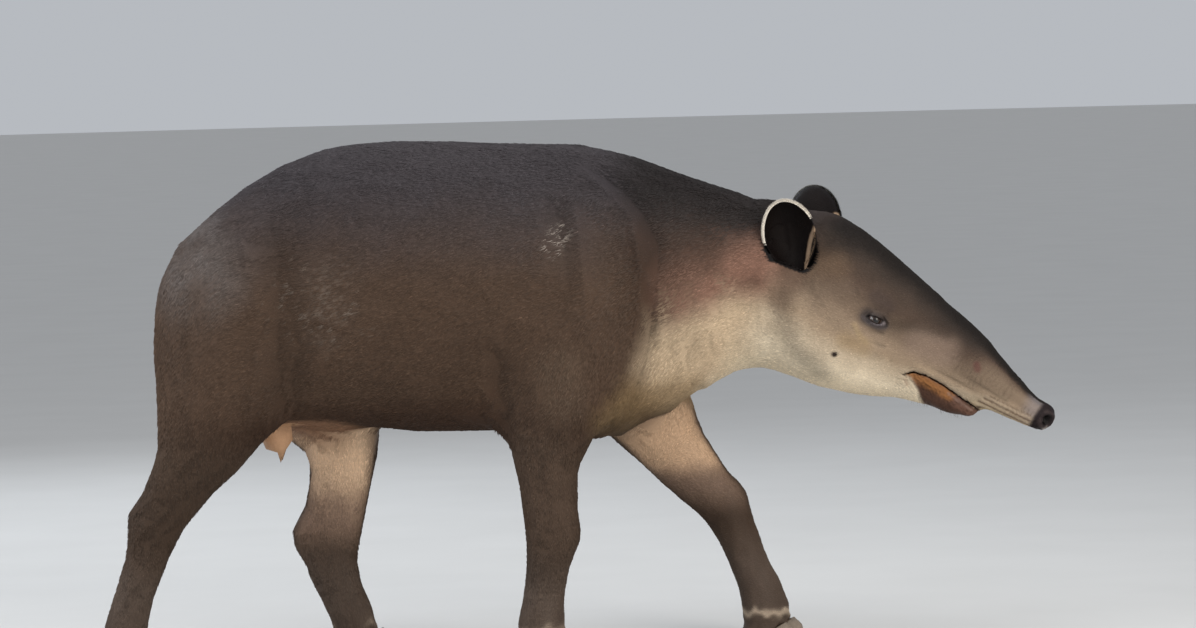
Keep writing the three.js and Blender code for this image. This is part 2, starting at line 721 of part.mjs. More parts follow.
// The lattice of each part: its box, and the size of its cells.
const TORSO = { low: vector(-930, -313, 366), high: vector(330, 314, 1120), cell: vector(84, 57, 58) };
const NECK = { low: vector(112, -195, 420), high: vector(520, 195, 1028), cell: vector(34, 30, 32) };
const HEAD_BOX = { low: vector(-190, -150, -260), high: vector(650, 150, 190), cell: vector(26, 20, 21) };
const TAIL_BOX = { low: vector(-840, -44, 610), high: vector(-700, 44, 840), cell: vector(14, 11, 16) };
const LEG_CELL = vector(30, 25, 37);
const FOOT = { fore: 126, side: 96, top: 240, bottom: -30, cell: vector(21, 17, 24) };
const BELOW_THE_FLOOR = -60;

function torsoSolid() {
  const geometry = surfaceOf(flesh, upright, TORSO.low, TORSO.high, TORSO.cell);
  const trunk = behind(solidOf(geometry), neckPlane.point, neckPlane.normal);
  const solid = trunk.trimByPlane([0, 0, 1], BELLY_LEVEL);
  return Object.values(LEG_SOCKETS).reduce((rest, socket) => rest.subtract(socketSolid(socket, 0)), solid);
}

function neckSolid() {
  const geometry = surfaceOf(flesh, upright, NECK.low, NECK.high, NECK.cell);
  const solid = ahead(solidOf(geometry), neckPlane.point, neckPlane.normal);
  return behind(solid, headPlane.point, headPlane.normal);
}

// One leg, in a coarse lattice down to its foot and a fine one for the foot.
function legSolid(name, low, high, wrist) {
  const shank = solidOf(surfaceOf(flesh, upright, low, high, LEG_CELL));
  const below = boxSolid(low.clone().setZ(BELOW_THE_FLOOR), high.clone().setZ(BELLY_LEVEL - GAP));
  const region = socketSolid(LEG_SOCKETS[name], GAP).add(below);
  return behind(shank.intersect(region), wrist.point, wrist.normal);
}

function headSolid() {
  const geometry = surfaceOf(flesh, headPlace, HEAD_BOX.low, HEAD_BOX.high, HEAD_BOX.cell);
  return ahead(solidOf(geometry), headPlane.point, headPlane.normal);
}

const materials = {
  flank: new THREE.MeshStandardMaterial({ color: 0x54463c, roughness: 0.75, metalness: 0 }),
  face: new THREE.MeshStandardMaterial({ color: 0x8a7a68, roughness: 0.75, metalness: 0 }),
  ear: new THREE.MeshStandardMaterial({ color: 0x2a2526, roughness: 0.8, metalness: 0 }),
  leg: new THREE.MeshStandardMaterial({ color: 0x463a34, roughness: 0.75, metalness: 0 }),
  hoof: new THREE.MeshStandardMaterial({ color: 0x6a5a4a, roughness: 0.5, metalness: 0 }),
  eye: new THREE.MeshStandardMaterial({ color: 0x17110e, roughness: 0.1, metalness: 0 }),
  udder: new THREE.MeshStandardMaterial({ color: 0xb89680, roughness: 0.7, metalness: 0 }),
};

const model = new THREE.Group();

function addPiece(name, solid, material) {
  const mesh = new THREE.Mesh(geometryOf(largest(solid)), material);
  mesh.name = name;
  model.add(mesh);
}

// A solid made larger by moving its corners outwards.
function grown(solid, amount = GAP * 1.5) {
  const geometry = geometryOf(solid);
  const { position, normal } = geometry.attributes;
  for (let i = 0; i < position.count; i += 1) {
    const x = position.getX(i) + normal.getX(i) * amount;
    const y = position.getY(i) + normal.getY(i) * amount;
    const z = position.getZ(i) + normal.getZ(i) * amount;
    position.setXYZ(i, x, y, z);
  }
  return solidOf(geometry);
}

// A flat shape drawn in u and v, pushed through the head along w.
function throughHead(shape) {
  const reach = 200;
  const geometry = new THREE.ExtrudeGeometry(shape, { depth: 2 * reach, bevelEnabled: false });
  geometry.translate(0, 0, -reach);
  geometry.rotateX(Math.PI / 2);
  return solidOf(geometry.applyMatrix4(headPlace));
}

// The line of the mouth: a slot that narrows to nothing at the corner.
function mouthSlot() {
  const half = (station) => (station === MOUTH[0] ? MOUTH_CORNER_GAP : MOUTH_GAP) / 2;
  const upper = MOUTH.map((s) => new THREE.Vector2(s.u, s.v + half(s)));
  const lower = MOUTH.map((s) => new THREE.Vector2(s.u, s.v - half(s)));
  return throughHead(new THREE.Shape([...upper, ...lower.reverse()]));
}

// What is parted from the head as the proboscis: all above the mouth and ahead of one station.
function proboscisRegion(spare) {
  const { from, end, above, below } = PROBOSCIS;
  const start = from + spare;
  const mouthHeight = through(MOUTH, "u", "v");
  const front = MOUTH.filter((s) => s.u > start);
  const outline = [
    new THREE.Vector2(start, above),
    new THREE.Vector2(start, mouthHeight(start)),
    ...front.map((s) => new THREE.Vector2(s.u, s.v)),
    new THREE.Vector2(end, below),
    new THREE.Vector2(end, above),
  ];
  return throughHead(new THREE.Shape(outline));
}

// Each eye: its centre, the way it looks, and the axes of its opening.
function eyePlace(side) {
  const centre = onHead(EYE.u, EYE.v, side * EYE.w);
  const look = radians(EYE.looksAhead);
  const slope = radians(EYE.slopes);
  const gaze = new THREE.Vector3()
    .addScaledVector(headAxes[0], Math.sin(look))
    .addScaledVector(headAxes[1], side * Math.cos(look));
  const across = new THREE.Vector3()
    .addScaledVector(headAxes[0], Math.cos(look))
    .addScaledVector(headAxes[1], -side * Math.sin(look))
    .multiplyScalar(Math.cos(slope))
    .addScaledVector(headAxes[2], Math.sin(slope));
  const up = new THREE.Vector3().crossVectors(gaze, across).normalize();
  return { centre, gaze, across, up };
}

// The opening between the lids: two arcs that meet at the corners, pushed outwards.
function lidOpening({ centre, gaze, across, up }) {
  const half = LID.long / 2;
  const rise = LID.high / 2;
  const radius = (half * half + rise * rise) / (2 * rise);
  const sweep = Math.asin(half / radius);
  const arc = (sign) => {
    const points = [];
    for (let i = 0; i < LID_FACETS; i += 1) {
      const angle = sign * (-sweep + (2 * sweep * i) / LID_FACETS);
      const height = radius * Math.cos(angle) - radius + rise;
      points.push(new THREE.Vector2(radius * Math.sin(angle), sign * height));
    }
    return points;
  };
  const geometry = new THREE.ExtrudeGeometry(new THREE.Shape([...arc(1), ...arc(-1)]), {
    depth: LID.deep,
    bevelEnabled: false,
  });
  const matrix = new THREE.Matrix4().makeBasis(across, up, gaze);
  // A mirrored set of axes would turn the solid inside out, so the third is worked out again.
  if (matrix.determinant() < 0) matrix.makeBasis(across, up.clone().negate(), gaze);
  return solidOf(geometry.applyMatrix4(matrix.setPosition(centre)));
}

function eyeball(place, radius) {
  return ovalSolid(place.centre, vector(radius, radius, radius), WORLD_AXES, FACETS.eye);
}

// Each ear's axes: along it, the way its mouth faces, and across it.
function earPlace(name) {
  const { u, v, w } = EAR_CENTRES[name];
  const side = Math.sign(w);
  const turn = radians(HEAD_TURN);
  const front = vector(Math.cos(turn), Math.sin(turn), 0);
  const out = vector(-Math.sin(turn), Math.cos(turn), 0).multiplyScalar(side);
  const along = vector(0, 0, 1)
    .addScaledVector(out, Math.tan(radians(EAR_LEAN_OUT)))
    .addScaledVector(front, -Math.tan(radians(EAR_LEAN_BACK)))
    .normalize();
  const mouth = out.clone().addScaledVector(along, -out.dot(along)).normalize();
  const across = new THREE.Vector3().crossVectors(along, mouth);
  return { centre: onHead(u, v, w), along, mouth, across };
}

function earOval(name, spare) {
  const { centre, along, mouth, across } = earPlace(name);
  const size = vector(EAR.long, EAR.deep, EAR.wide).addScalar(spare);
  const rim = centre.clone().addScaledVector(mouth, EAR.rim + Math.max(spare, 0));
  return behind(ovalSolid(centre, size, [along, mouth, across], FACETS.ear), rim, mouth.toArray());
}

function earSolid(name) {
  const { centre, along, mouth, across } = earPlace(name);
  const size = vector(EAR.long, EAR.deep, EAR.wide).subScalar(EAR.wall);
  return earOval(name, 0).subtract(ovalSolid(centre, size, [along, mouth, across], FACETS.ear));
}

// Ears, eyes, the mouth and the nostrils are cut into the head one after another.
function buildHead() {
  let head = headSolid();
  for (const [name, side] of [["right", -1], ["left", 1]]) {
    addPiece(`ear_${name}`, earSolid(name), materials.ear);
    head = head.subtract(earOval(name, GAP * 2));
    const place = eyePlace(side);
    addPiece(`eye_${name}`, eyeball(place, EYE.radius), materials.eye);
    head = head
      .add(eyeball(place, EYE.radius + LID.thick))
      .subtract(eyeball(place, EYE.radius + GAP * 2))
      .subtract(lidOpening(place));
    head = head.subtract(
      ovalSolid(
        onHead(NOSTRIL.u, NOSTRIL.v, side * NOSTRIL.w),
        vector(NOSTRIL.deep, NOSTRIL.wide, NOSTRIL.high),
        headAxes,
      ),
    );
  }
  head = head.subtract(mouthSlot());
  addPiece("proboscis", head.intersect(proboscisRegion(GAP)), materials.face);
  addPiece("head", head.subtract(proboscisRegion(0)), materials.face);
}

buildHead();
const neck = neckSolid().subtract(earOval("right", GAP * 2)).subtract(earOval("left", GAP * 2));
addPiece("neck", neck, materials.flank);

// Hooves, and the toes they sit on.
function hoofSolid({ centre, heading, size }) {
  const axes = footAxes(heading);
  const oval = ovalSolid(centre, toeSize.clone().multiplyScalar(size), axes, FACETS.hoof);
  const sole = Math.max(centre.z, 0);
  const place = (forward, up) =>
    centre.clone().addScaledVector(axes[0], forward * size).setZ(sole + up * size);
  const top = new THREE.Vector3().addScaledVector(axes[0], -HOOF.slope).add(axes[2]);
  const bare = oval.trimByPlane([0, 0, 1], sole);
  const front = ahead(bare, place(HOOF.back, 0), axes[0].toArray());
  return behind(front, place(0, HOOF.high), top.toArray());
}

const LEGS = {
  foreleg_right: {
    low: vector(-190, -272, 60),
    high: vector(146, -25, 578),
    foot: "forefoot_right",
    wrist: { point: vector(-48, -110, 165), normal: [-0.15, 0, -1] },
  },
  foreleg_left: {
    low: vector(-20, 18, 60),
    high: vector(484, 265, 578),
    foot: "forefoot_left",
    wrist: { point: vector(350, 110, 165), normal: [0.35, 0, -1] },
  },
  thigh_right: {
    low: vector(-990, -275, 60),
    high: vector(-486, -9, 732),
    foot: "hindfoot_right",
    wrist: { point: vector(-838, -110, 186), normal: [-0.38, 0, -1] },
    knee: { point: vector(-736, -122, 396), normal: [-0.4, 0, -1] },
    shank: "shank_right",
  },
  thigh_left: {
    low: vector(-700, 9, 60),
    high: vector(-292, 275, 732),
    foot: "hindfoot_left",
    wrist: { point: vector(-478, 110, 170), normal: [0.3, 0, -1] },
    knee: { point: vector(-452, 121, 388), normal: [-0.05, 0, -1] },
    shank: "shank_left",
  },
};

const hooves = {};
for (const [foot, toes] of Object.entries(toePlaces)) {
  const hoof = foot.replace("foot", "_hoof");
  hooves[foot] = toes.map((toe) => ({ name: `${hoof}_${toe.digit}`, solid: hoofSolid(toe) }));
}

const thighs = {};
for (const [name, leg] of Object.entries(LEGS)) {
  const limb = legSolid(name, leg.low, leg.high, leg.wrist);
  if (leg.knee) {
    thighs[name] = behind(limb, leg.knee.point, leg.knee.normal);
    addPiece(name, thighs[name], materials.leg);
    addPiece(leg.shank, ahead(limb, leg.knee.point, leg.knee.normal), materials.leg);
  } else {
    addPiece(name, limb, materials.leg);
  }
  const { x, y } = FEET[leg.foot];
  const low = vector(x - FOOT.fore, y - FOOT.side, FOOT.bottom);
  const high = vector(x + FOOT.fore, y + FOOT.side, FOOT.top);
  const around = surfaceOf(flesh, upright, low, high, FOOT.cell);
  let foot = ahead(solidOf(around), leg.wrist.point, leg.wrist.normal).trimByPlane([0, 0, 1], 0);
  for (const { name: hoofName, solid } of hooves[leg.foot]) {
    addPiece(hoofName, solid, materials.hoof);
    foot = foot.subtract(grown(solid));
  }
  addPiece(leg.foot, foot, materials.leg);
}

// The tail lies in a groove of the rump.
const tailStations = TAIL.map((s) => ({ x: s.x, y: 0, z: s.z, fore: s.thick, side: s.thick }));
const tail = solidOf(surfaceOf(tube(tailStations), upright, TAIL_BOX.low, TAIL_BOX.high, TAIL_BOX.cell));
addPiece("tail", tail, materials.flank);
const torso = torsoSolid().subtract(grown(tail));
addPiece("torso", torso, materials.flank);

// The udder hangs between the thighs.
function udderSolid() {
  const centre = vector(UDDER.x, UDDER.y, UDDER.z);
  const bag = ovalSolid(centre, vector(UDDER.long, UDDER.wide, UDDER.high), WORLD_AXES);
  const teatSize = vector(TEAT.thick, TEAT.thick, TEAT.high);
  const teats = [-1, 1].map((side) =>
    ovalSolid(vector(TEAT.x, UDDER.y + side * TEAT.y, TEAT.z), teatSize, WORLD_AXES, FACETS.teat),
  );
  const hung = bag.add(teats[0]).add(teats[1]).subtract(grown(torso));
  return Object.values(thighs).reduce((rest, thigh) => rest.subtract(grown(thigh)), hung);
}
addPiece("udder", udderSolid(), materials.udder);

// The model stands on Z = 0, with the middle of its box over the origin.
const middle = new THREE.Box3().setFromObject(model).getCenter(new THREE.Vector3());
model.position.set(-middle.x, -middle.y, 0);

export default model;
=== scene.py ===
"""A Baird's tapir as a life-size still model: one skin, its coat, eyes and hooves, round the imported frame."""

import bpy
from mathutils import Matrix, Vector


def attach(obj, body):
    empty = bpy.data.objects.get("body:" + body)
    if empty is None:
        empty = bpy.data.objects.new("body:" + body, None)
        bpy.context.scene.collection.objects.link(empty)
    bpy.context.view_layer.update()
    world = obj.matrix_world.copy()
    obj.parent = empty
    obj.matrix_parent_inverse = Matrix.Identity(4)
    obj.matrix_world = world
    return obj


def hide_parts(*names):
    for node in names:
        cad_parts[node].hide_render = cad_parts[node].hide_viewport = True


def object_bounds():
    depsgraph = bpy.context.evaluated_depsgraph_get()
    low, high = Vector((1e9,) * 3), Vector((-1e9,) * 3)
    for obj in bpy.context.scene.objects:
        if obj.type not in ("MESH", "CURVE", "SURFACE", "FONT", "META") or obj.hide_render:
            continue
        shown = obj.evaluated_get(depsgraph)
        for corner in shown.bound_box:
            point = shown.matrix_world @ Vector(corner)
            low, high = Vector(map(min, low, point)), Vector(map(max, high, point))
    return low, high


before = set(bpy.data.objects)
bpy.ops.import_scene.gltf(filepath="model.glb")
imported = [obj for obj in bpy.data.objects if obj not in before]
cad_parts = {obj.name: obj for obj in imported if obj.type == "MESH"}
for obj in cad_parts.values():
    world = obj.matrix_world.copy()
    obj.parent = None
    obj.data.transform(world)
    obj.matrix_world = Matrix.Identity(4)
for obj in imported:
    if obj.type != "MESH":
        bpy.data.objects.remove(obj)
CAD_BOX = [tuple(corner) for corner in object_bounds()]

import itertools
import math

import bmesh
import bpy
import numpy as np
from bpy.props import FloatProperty, FloatVectorProperty, IntProperty, PointerProperty
from bpy.types import Operator, Panel, PropertyGroup
from mathutils import Matrix, Vector
from mathutils.geometry import barycentric_transform
from mathutils.bvhtree import BVHTree
from mathutils.kdtree import KDTree

bl_info = {
    "name": "Baird's tapir",
    "version": (1, 0, 0),
    "blender": (4, 5, 0),
    "location": "View3D > Sidebar > Tapir",
    "description": "Builds the skin, coat, eyes and hooves of a life-size Baird's tapir",
    "category": "Object",
}

MM = 0.001
BOX_MARGIN = 0.2 * MM
EYES = ("eye_right", "eye_left")
EARS = ("ear_right", "ear_left")
SIDES = {"right": -1, "left": 1}
FEET = ("fore_right", "fore_left", "hind_right", "hind_left")
HOOVES = sorted(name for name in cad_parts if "_hoof_" in name)
FLESH = sorted(set(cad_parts) - set(HOOVES) - set(EYES))

# The head's own axes, in the frame: u from the nape to the nose, w to the left, v up.
HEAD_ORIGIN = np.array((0.4314, -0.015, 0.738))
HEAD_PITCH = math.radians(33.7)
HEAD_TURN = math.radians(-14)
HEAD_AXES = np.array(Matrix.Rotation(HEAD_TURN, 3, "Z") @ Matrix.Rotation(HEAD_PITCH, 3, "Y"))
# On the head's axes, in millimetres: its top and bottom lines, the mouth, eyes, nostrils and ears.
TOP_LINE = ((-60, 100), (0, 136), (60, 144), (131, 142), (195, 134), (263, 124), (330, 112), (392, 100), (452, 85), (502, 71), (545, 60), (600, 58))
BOTTOM_LINE = ((-60, -150), (0, -172), (131, -172), (195, -154), (263, -125), (330, -90), (400, -66), (450, -40), (475, -22), (545, -6), (600, 3))
MOUTH = ((306, -42), (320, -27), (345, -19), (380, -18), (415, -20), (450, -24), (500, -30))
LIP_END = 470
EYE_CENTRE = np.array((203, 69, 22))
EYE_RADIUS = 14.5
EYE_LOOKS_AHEAD = math.radians(20)
EYE_SLOPES = math.radians(8)
NOSTRIL = (15, 32)
NOSE_START = 574
EAR_CENTRES = {"right": (-20, -99, 72), "left": (-24, 97, 92)}
EAR_LONG, EAR_DEEP, EAR_WIDE = 75, 44, 52
EAR_CUT = 0.14
TRAGUS = ((6, 48), (-4, 42), (-14, 35), (-28, 28), (-46, 22), (-66, 17))
EYE_OPENING = 18.5
UPPER_LID, LOWER_LID = 7.0, 4.8
EAR_LEAN_BACK = math.radians(8)
EAR_LEAN_OUT = math.radians(15)

# colours, as linear light

BACK = (0.046, 0.039, 0.042)
FLANK = (0.084, 0.051, 0.033)
# Painted shade: under the belly, and in the crease before the shoulder blade.
SHADE_BROWN = (0.038, 0.017, 0.009)
NAPE = (0.013, 0.010, 0.009)
RED_NECK = (0.26, 0.14, 0.098)
CREAM = (0.60, 0.46, 0.31)
CHEST = (0.27, 0.18, 0.09)
LEG = (0.066, 0.042, 0.028)
FOOT = (0.105, 0.076, 0.058)
SHEEN = (0.140, 0.121, 0.112)
INNER_LEG = (0.56, 0.38, 0.245)
# The inner thigh's own cream, made paler still by painted sunlight.
INNER_THIGH = (0.76, 0.54, 0.36)
INNER_SHANK = (0.24, 0.16, 0.115)
BARE_TAN = (0.52, 0.31, 0.18)
LIP_BROWN = (0.15, 0.078, 0.054)
LIP_TAN = (0.32, 0.14, 0.048)
LIP_DARK = (0.050, 0.024, 0.015)
# Painted shade for the gap between the lips.
MOUTH_SHADE = (0.03, 0.013, 0.010)
EYE_RING = (0.050, 0.041, 0.040)
LID_BLUE = (0.100, 0.086, 0.087)
# Painted highlight on the wet lower lid.
LID_HIGHLIGHT = (0.36, 0.32, 0.35)
EAR_INSIDE = (0.006, 0.0035, 0.0025)
EAR_BACK = (0.007, 0.006, 0.006)
WHITE_HAIR = (0.80, 0.73, 0.63)
TRAGUS_TAN = (0.42, 0.29, 0.19)
NOSE_SKIN = (0.018, 0.012, 0.013)
HOOF_BAND = (0.50, 0.40, 0.30)
SCAR = (0.42, 0.36, 0.31)
BRISTLE = (0.012, 0.010, 0.009)
# From the head's top line, 0, to its bottom line, 1.
FACE_STOPS = (0, 0.12, 0.25, 0.42, 0.6, 0.85, 1)
FACE_COLOURS = (
    (0.016, 0.012, 0.010),
    (0.047, 0.033, 0.025),
    (0.100, 0.066, 0.047),
    (0.21, 0.150, 0.104),
    (0.40, 0.30, 0.205),
    (0.82, 0.70, 0.52),
    (0.76, 0.64, 0.46),
)


# numbers over the surface


def smooth_step(low, high, values):
    t = np.clip((values - low) / (high - low), 0, 1)
    return t * t * (3 - 2 * t)


def bell(values, centre, width):
    return np.exp(-(((values - centre) / width) ** 2))


def along_line(stations, values):
    places, heights = zip(*stations)
    return np.interp(values, places, heights)


def noise(points, size, seed):
    """Smooth noise from -1 to 1, with bumps about size across, the same for the same place."""
    place = points / size + 1000
    cell = np.floor(place).astype(np.int64)
    t = place - cell
    t = t * t * (3 - 2 * t)
    total = np.zeros(len(points))
    for corner in itertools.product((0, 1), repeat=3):
        x, y, z = (cell + corner).T
        mixed = (x * 374761393 + y * 668265263 + z * 2147483647 + seed * 1013904223) & 0xFFFFFFFF
        mixed = ((mixed ^ (mixed >> 13)) * 1274126177) & 0xFFFFFFFF
        value = ((mixed ^ (mixed >> 16)) & 0xFFFF) / 0xFFFF
        total += value * np.prod(np.where(corner, t, 1 - t), axis=1)
    return 2 * total - 1


def distance(points, line):
    """How far each point is from a line of points."""
    nearest = np.full(len(points), np.inf)
    line = np.asarray(line, float)
    for start, end in zip(line, line[1:] if len(line) > 1 else line):
        run = end - start
        t = np.clip((points - start) @ run / max(run @ run, 1e-12), 0, 1)
        nearest = np.minimum(nearest, np.linalg.norm(points - start - t[:, None] * run, axis=1))
    return nearest


def patch(points, line, radius, soft):
    """1 within radius of the line, 0 beyond soft outside it."""
    return 1 - smooth_step(radius, radius + soft, distance(points, line))


def to_head(points):
    return (points - HEAD_ORIGIN) @ HEAD_AXES / MM


def from_head(local):
    return np.asarray(local, float) @ HEAD_AXES.T * MM + HEAD_ORIGIN


def unit(vectors):
    return vectors / np.maximum(np.linalg.norm(vectors, axis=-1, keepdims=True), 1e-12)


# meshes


def points_of(mesh):
    out = np.empty(len(mesh.vertices) * 3, np.float32)
    mesh.vertices.foreach_get("co", out)
    return out.reshape(-1, 3).astype(float)


def put_points(mesh, points):
    mesh.vertices.foreach_set("co", np.asarray(points, np.float32).ravel())
    mesh.update()


def normals_of(mesh):
    out = np.empty(len(mesh.vertices) * 3, np.float32)
    mesh.vertex_normals.foreach_get("vector", out)
    return out.reshape(-1, 3).astype(float)


def edges_of(mesh):
    out = np.empty(len(mesh.edges) * 2, np.int32)
    mesh.edges.foreach_get("vertices", out)
    return out.reshape(-1, 2)


def put_number(mesh, name, values):
    attribute = mesh.attributes.get(name) or mesh.attributes.new(name, "FLOAT", "POINT")
    attribute.data.foreach_set("value", np.asarray(values, np.float32))


def get_number(mesh, name):
    out = np.empty(len(mesh.vertices), np.float32)
    mesh.attributes[name].data.foreach_get("value", out)
    return out.astype(float)


def put_colours(mesh, colours):
    attribute = mesh.color_attributes.new("Markings", "FLOAT_COLOR", "POINT")
    rgba = np.concatenate([colours, np.ones((len(colours), 1))], axis=1)
    attribute.data.foreach_set("color", rgba.astype(np.float32).ravel())


def object_of(name, mesh):
    piece = bpy.data.objects.new(name, mesh)
    bpy.context.scene.collection.objects.link(piece)
    return piece


def remove(piece):
    mesh = piece.data
    bpy.data.objects.remove(piece)
    bpy.data.meshes.remove(mesh)


def modified(piece, kind, **settings):
    """Applies one modifier to the piece's mesh."""
    modifier = piece.modifiers.new(kind.lower(), kind)
    for key, value in settings.items():
        setattr(modifier, key, value)
    bpy.context.view_layer.update()
    graph = bpy.context.evaluated_depsgraph_get()
    mesh = bpy.data.meshes.new_from_object(piece.evaluated_get(graph))
    old = piece.data
    piece.modifiers.clear()
    piece.data = mesh
    bpy.data.meshes.remove(old)
    mesh.name = piece.name
    return mesh


def spread(values, edges, rounds):
    """Values averaged with their neighbours along the edges, again and again."""
    a, b = edges.T
    size = len(values)
    count = np.maximum(np.bincount(a, minlength=size) + np.bincount(b, minlength=size), 1)
    for _ in range(rounds):
        total = np.bincount(a, values[b], size) + np.bincount(b, values[a], size)
        values = (values + total / count) / 2
    return values


def weigh(piece, name, weights, levels=24):
    group = piece.vertex_groups.new(name=name)
    level = np.rint(np.clip(weights, 0, 1) * levels).astype(int)
    for k in range(1, levels + 1):
        group.add(np.flatnonzero(level == k).tolist(), k / levels, "REPLACE")


def relaxed(piece, weights, rounds):
    weigh(piece, "relax", weights)
    modified(piece, "SMOOTH", factor=0.5, iterations=rounds, vertex_group="relax")
    piece.vertex_groups.clear()
    return points_of(piece.data)


def smoothed(piece, weights, rounds):
    """The surface relaxed by rounds of smoothing, and then given back what that shrank."""
    once = relaxed(piece, weights, rounds)
    twice = relaxed(piece, weights, rounds)
    put_points(piece.data, 2 * once - twice)


def subdivided(piece, chosen):
    """Cuts each edge whose two ends are chosen in half, and the faces between them."""
    bm = bmesh.new()
    bm.from_mesh(piece.data)
    bmesh.ops.triangulate(bm, faces=[f for f in bm.faces if len(f.verts) > 4])
    bm.verts.ensure_lookup_table()
    edges = [e for e in bm.edges if chosen[e.verts[0].index] and chosen[e.verts[1].index]]
    bmesh.ops.subdivide_edges(bm, edges=edges, cuts=1, use_grid_fill=False, use_only_quads=False)
    bmesh.ops.triangulate(bm, faces=[f for f in bm.faces if len(f.verts) > 4])
    bm.to_mesh(piece.data)
    bm.free()
    piece.data.update()


def mesh_of(bm, name):
    mesh = bpy.data.meshes.new(name)
    bm.to_mesh(mesh)
    bm.free()
    return mesh


def cad_solid(name, grow=0.0):
    """A copy of a node's mesh with its loose triangles joined, grown a little along its normals."""
    bm = bmesh.new()
    bm.from_mesh(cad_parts[name].data)
    bmesh.ops.remove_doubles(bm, verts=bm.verts, dist=1e-5)
    bm.normal_update()
    for vert in bm.verts:
        vert.co += vert.normal * grow
    return mesh_of(bm, name + "_copy")


def joined(name, meshes):
    bm = bmesh.new()
    for mesh in meshes:
        bm.from_mesh(mesh)
        bpy.data.meshes.remove(mesh)
    return object_of(name, mesh_of(bm, name))


def combined(piece, other, operation):
    """One boolean with another piece, which it uses up."""
    mesh = modified(piece, "BOOLEAN", object=other, operation=operation, solver="MANIFOLD")
    remove(other)
    return mesh


# materials


class Socket:
    """The output of a shader node, which takes part in expressions."""

    def __init__(self, graph, link):
        self.graph = graph
        self.link = link

    def reckon(self, operation, *values):
        return self.graph.node("ShaderNodeMath", {"operation": operation}, dict(enumerate(values)))["Value"]

    def __add__(self, other):
        return self.reckon("ADD", self, other)

    def __radd__(self, other):
        return self.reckon("ADD", other, self)

    def __sub__(self, other):
        return self.reckon("SUBTRACT", self, other)

    def __rsub__(self, other):
        return self.reckon("SUBTRACT", other, self)

    def __mul__(self, other):
        return self.reckon("MULTIPLY", self, other)

    def __rmul__(self, other):
        return self.reckon("MULTIPLY", other, self)

    def __pow__(self, other):
        return self.reckon("POWER", self, other)


class Graph:
    """The nodes of one material."""

    def __init__(self, name):
        self.material = bpy.data.materials.new(name)
        self.material.use_nodes = True
        self.tree = self.material.node_tree
        self.tree.nodes.clear()

    def node(self, kind, settings, values):
        """A node with its settings and the values or links of its sockets, as its outputs by name."""
        made = self.tree.nodes.new(kind)
        for key, value in settings.items():
            setattr(made, key, value)
        for key, value in values.items():
            socket = made.inputs[key]
            if isinstance(value, Socket):
                self.tree.links.new(value.link, socket)
            else:
                is_colour = socket.type == "RGBA" and len(value) == 3
                socket.default_value = (*value, 1) if is_colour else value
        return {out.name: Socket(self, out) for out in made.outputs if out.enabled}

    def mix_colour(self, factor, first, second, how="MIX"):
        values = {0: factor, 6: first, 7: second}
        return self.node("ShaderNodeMix", {"data_type": "RGBA", "blend_type": how}, values)["Result"]

    def place(self):
        return self.node("ShaderNodeTexCoord", {}, {})["Object"]

    def stretched(self, scale):
        return self.node("ShaderNodeMapping", {}, {"Vector": self.place(), "Scale": scale})["Vector"]

    def attribute(self, name, output):
        return self.node("ShaderNodeAttribute", {"attribute_name": name}, {})[output]

    def noise(self, vector, scale, detail=3.0):
        return self.node("ShaderNodeTexNoise", {}, {"Vector": vector, "Scale": scale, "Detail": detail})["Fac"]

    def bump(self, height, distance):
        return self.node("ShaderNodeBump", {}, {"Height": height, "Distance": distance})["Normal"]

    def surface(self, values):
        shader = self.node("ShaderNodeBsdfPrincipled", {}, values)["BSDF"]
        self.node("ShaderNodeOutputMaterial", {}, {"Surface": shader})
        return self.material


def skin_material():
    """The skin under the coat, with the coat's own markings; bare skin is pebbled and a little glossy."""
    graph = Graph("skin")
    place = graph.place()
    paint = graph.attribute("Markings", "Color")
    bare = graph.attribute("Bare", "Fac")
    fine = graph.noise(place, 420.0)
    broad = graph.noise(place, 34.0, 5.0)
    cells = graph.node("ShaderNodeTexVoronoi", {}, {"Vector": place, "Scale": 330.0})["Distance"]
    tint = graph.mix_colour(0.35 * broad + 0.45 * fine, (0.66, 0.64, 0.64), (1.25, 1.25, 1.25))
    colour = graph.mix_colour(1.0, paint, tint, "MULTIPLY")
    rough = 0.6 - 0.2 * bare + 0.12 * fine
    height = fine * (1 - bare * 0.5) + cells * bare
    return graph.surface(
        {"Base Color": colour, "Roughness": rough, "Normal": graph.bump(height, 0.0006), "Specular IOR Level": 0.12}
    )


def coat_material():
    """Short hair: each tuft's own colour, a little streaked."""
    graph = Graph("coat")
    fine = graph.noise(graph.place(), 900.0, 2.0)
    tint = graph.mix_colour(fine, (0.82, 0.82, 0.82), (1.2, 1.2, 1.2))
    colour = graph.mix_colour(1.0, graph.attribute("Markings", "Color"), tint, "MULTIPLY")
    return graph.surface({"Base Color": colour, "Roughness": 0.5 + 0.1 * fine, "Specular IOR Level": 0.2})


def eye_material():
    """A wet eye: clear gloss over a dark brown iris."""
    graph = Graph("eye")
    streaks = graph.noise(graph.place(), 1500.0)
    tint = graph.mix_colour(streaks, (0.7, 0.7, 0.7), (1.35, 1.3, 1.25))
    colour = graph.mix_colour(1.0, graph.attribute("Markings", "Color"), tint, "MULTIPLY")
    return graph.surface(
        {"Base Color": colour, "Roughness": 0.2, "Coat Weight": 0.8, "Coat Roughness": 0.03, "Specular IOR Level": 0.2}
    )


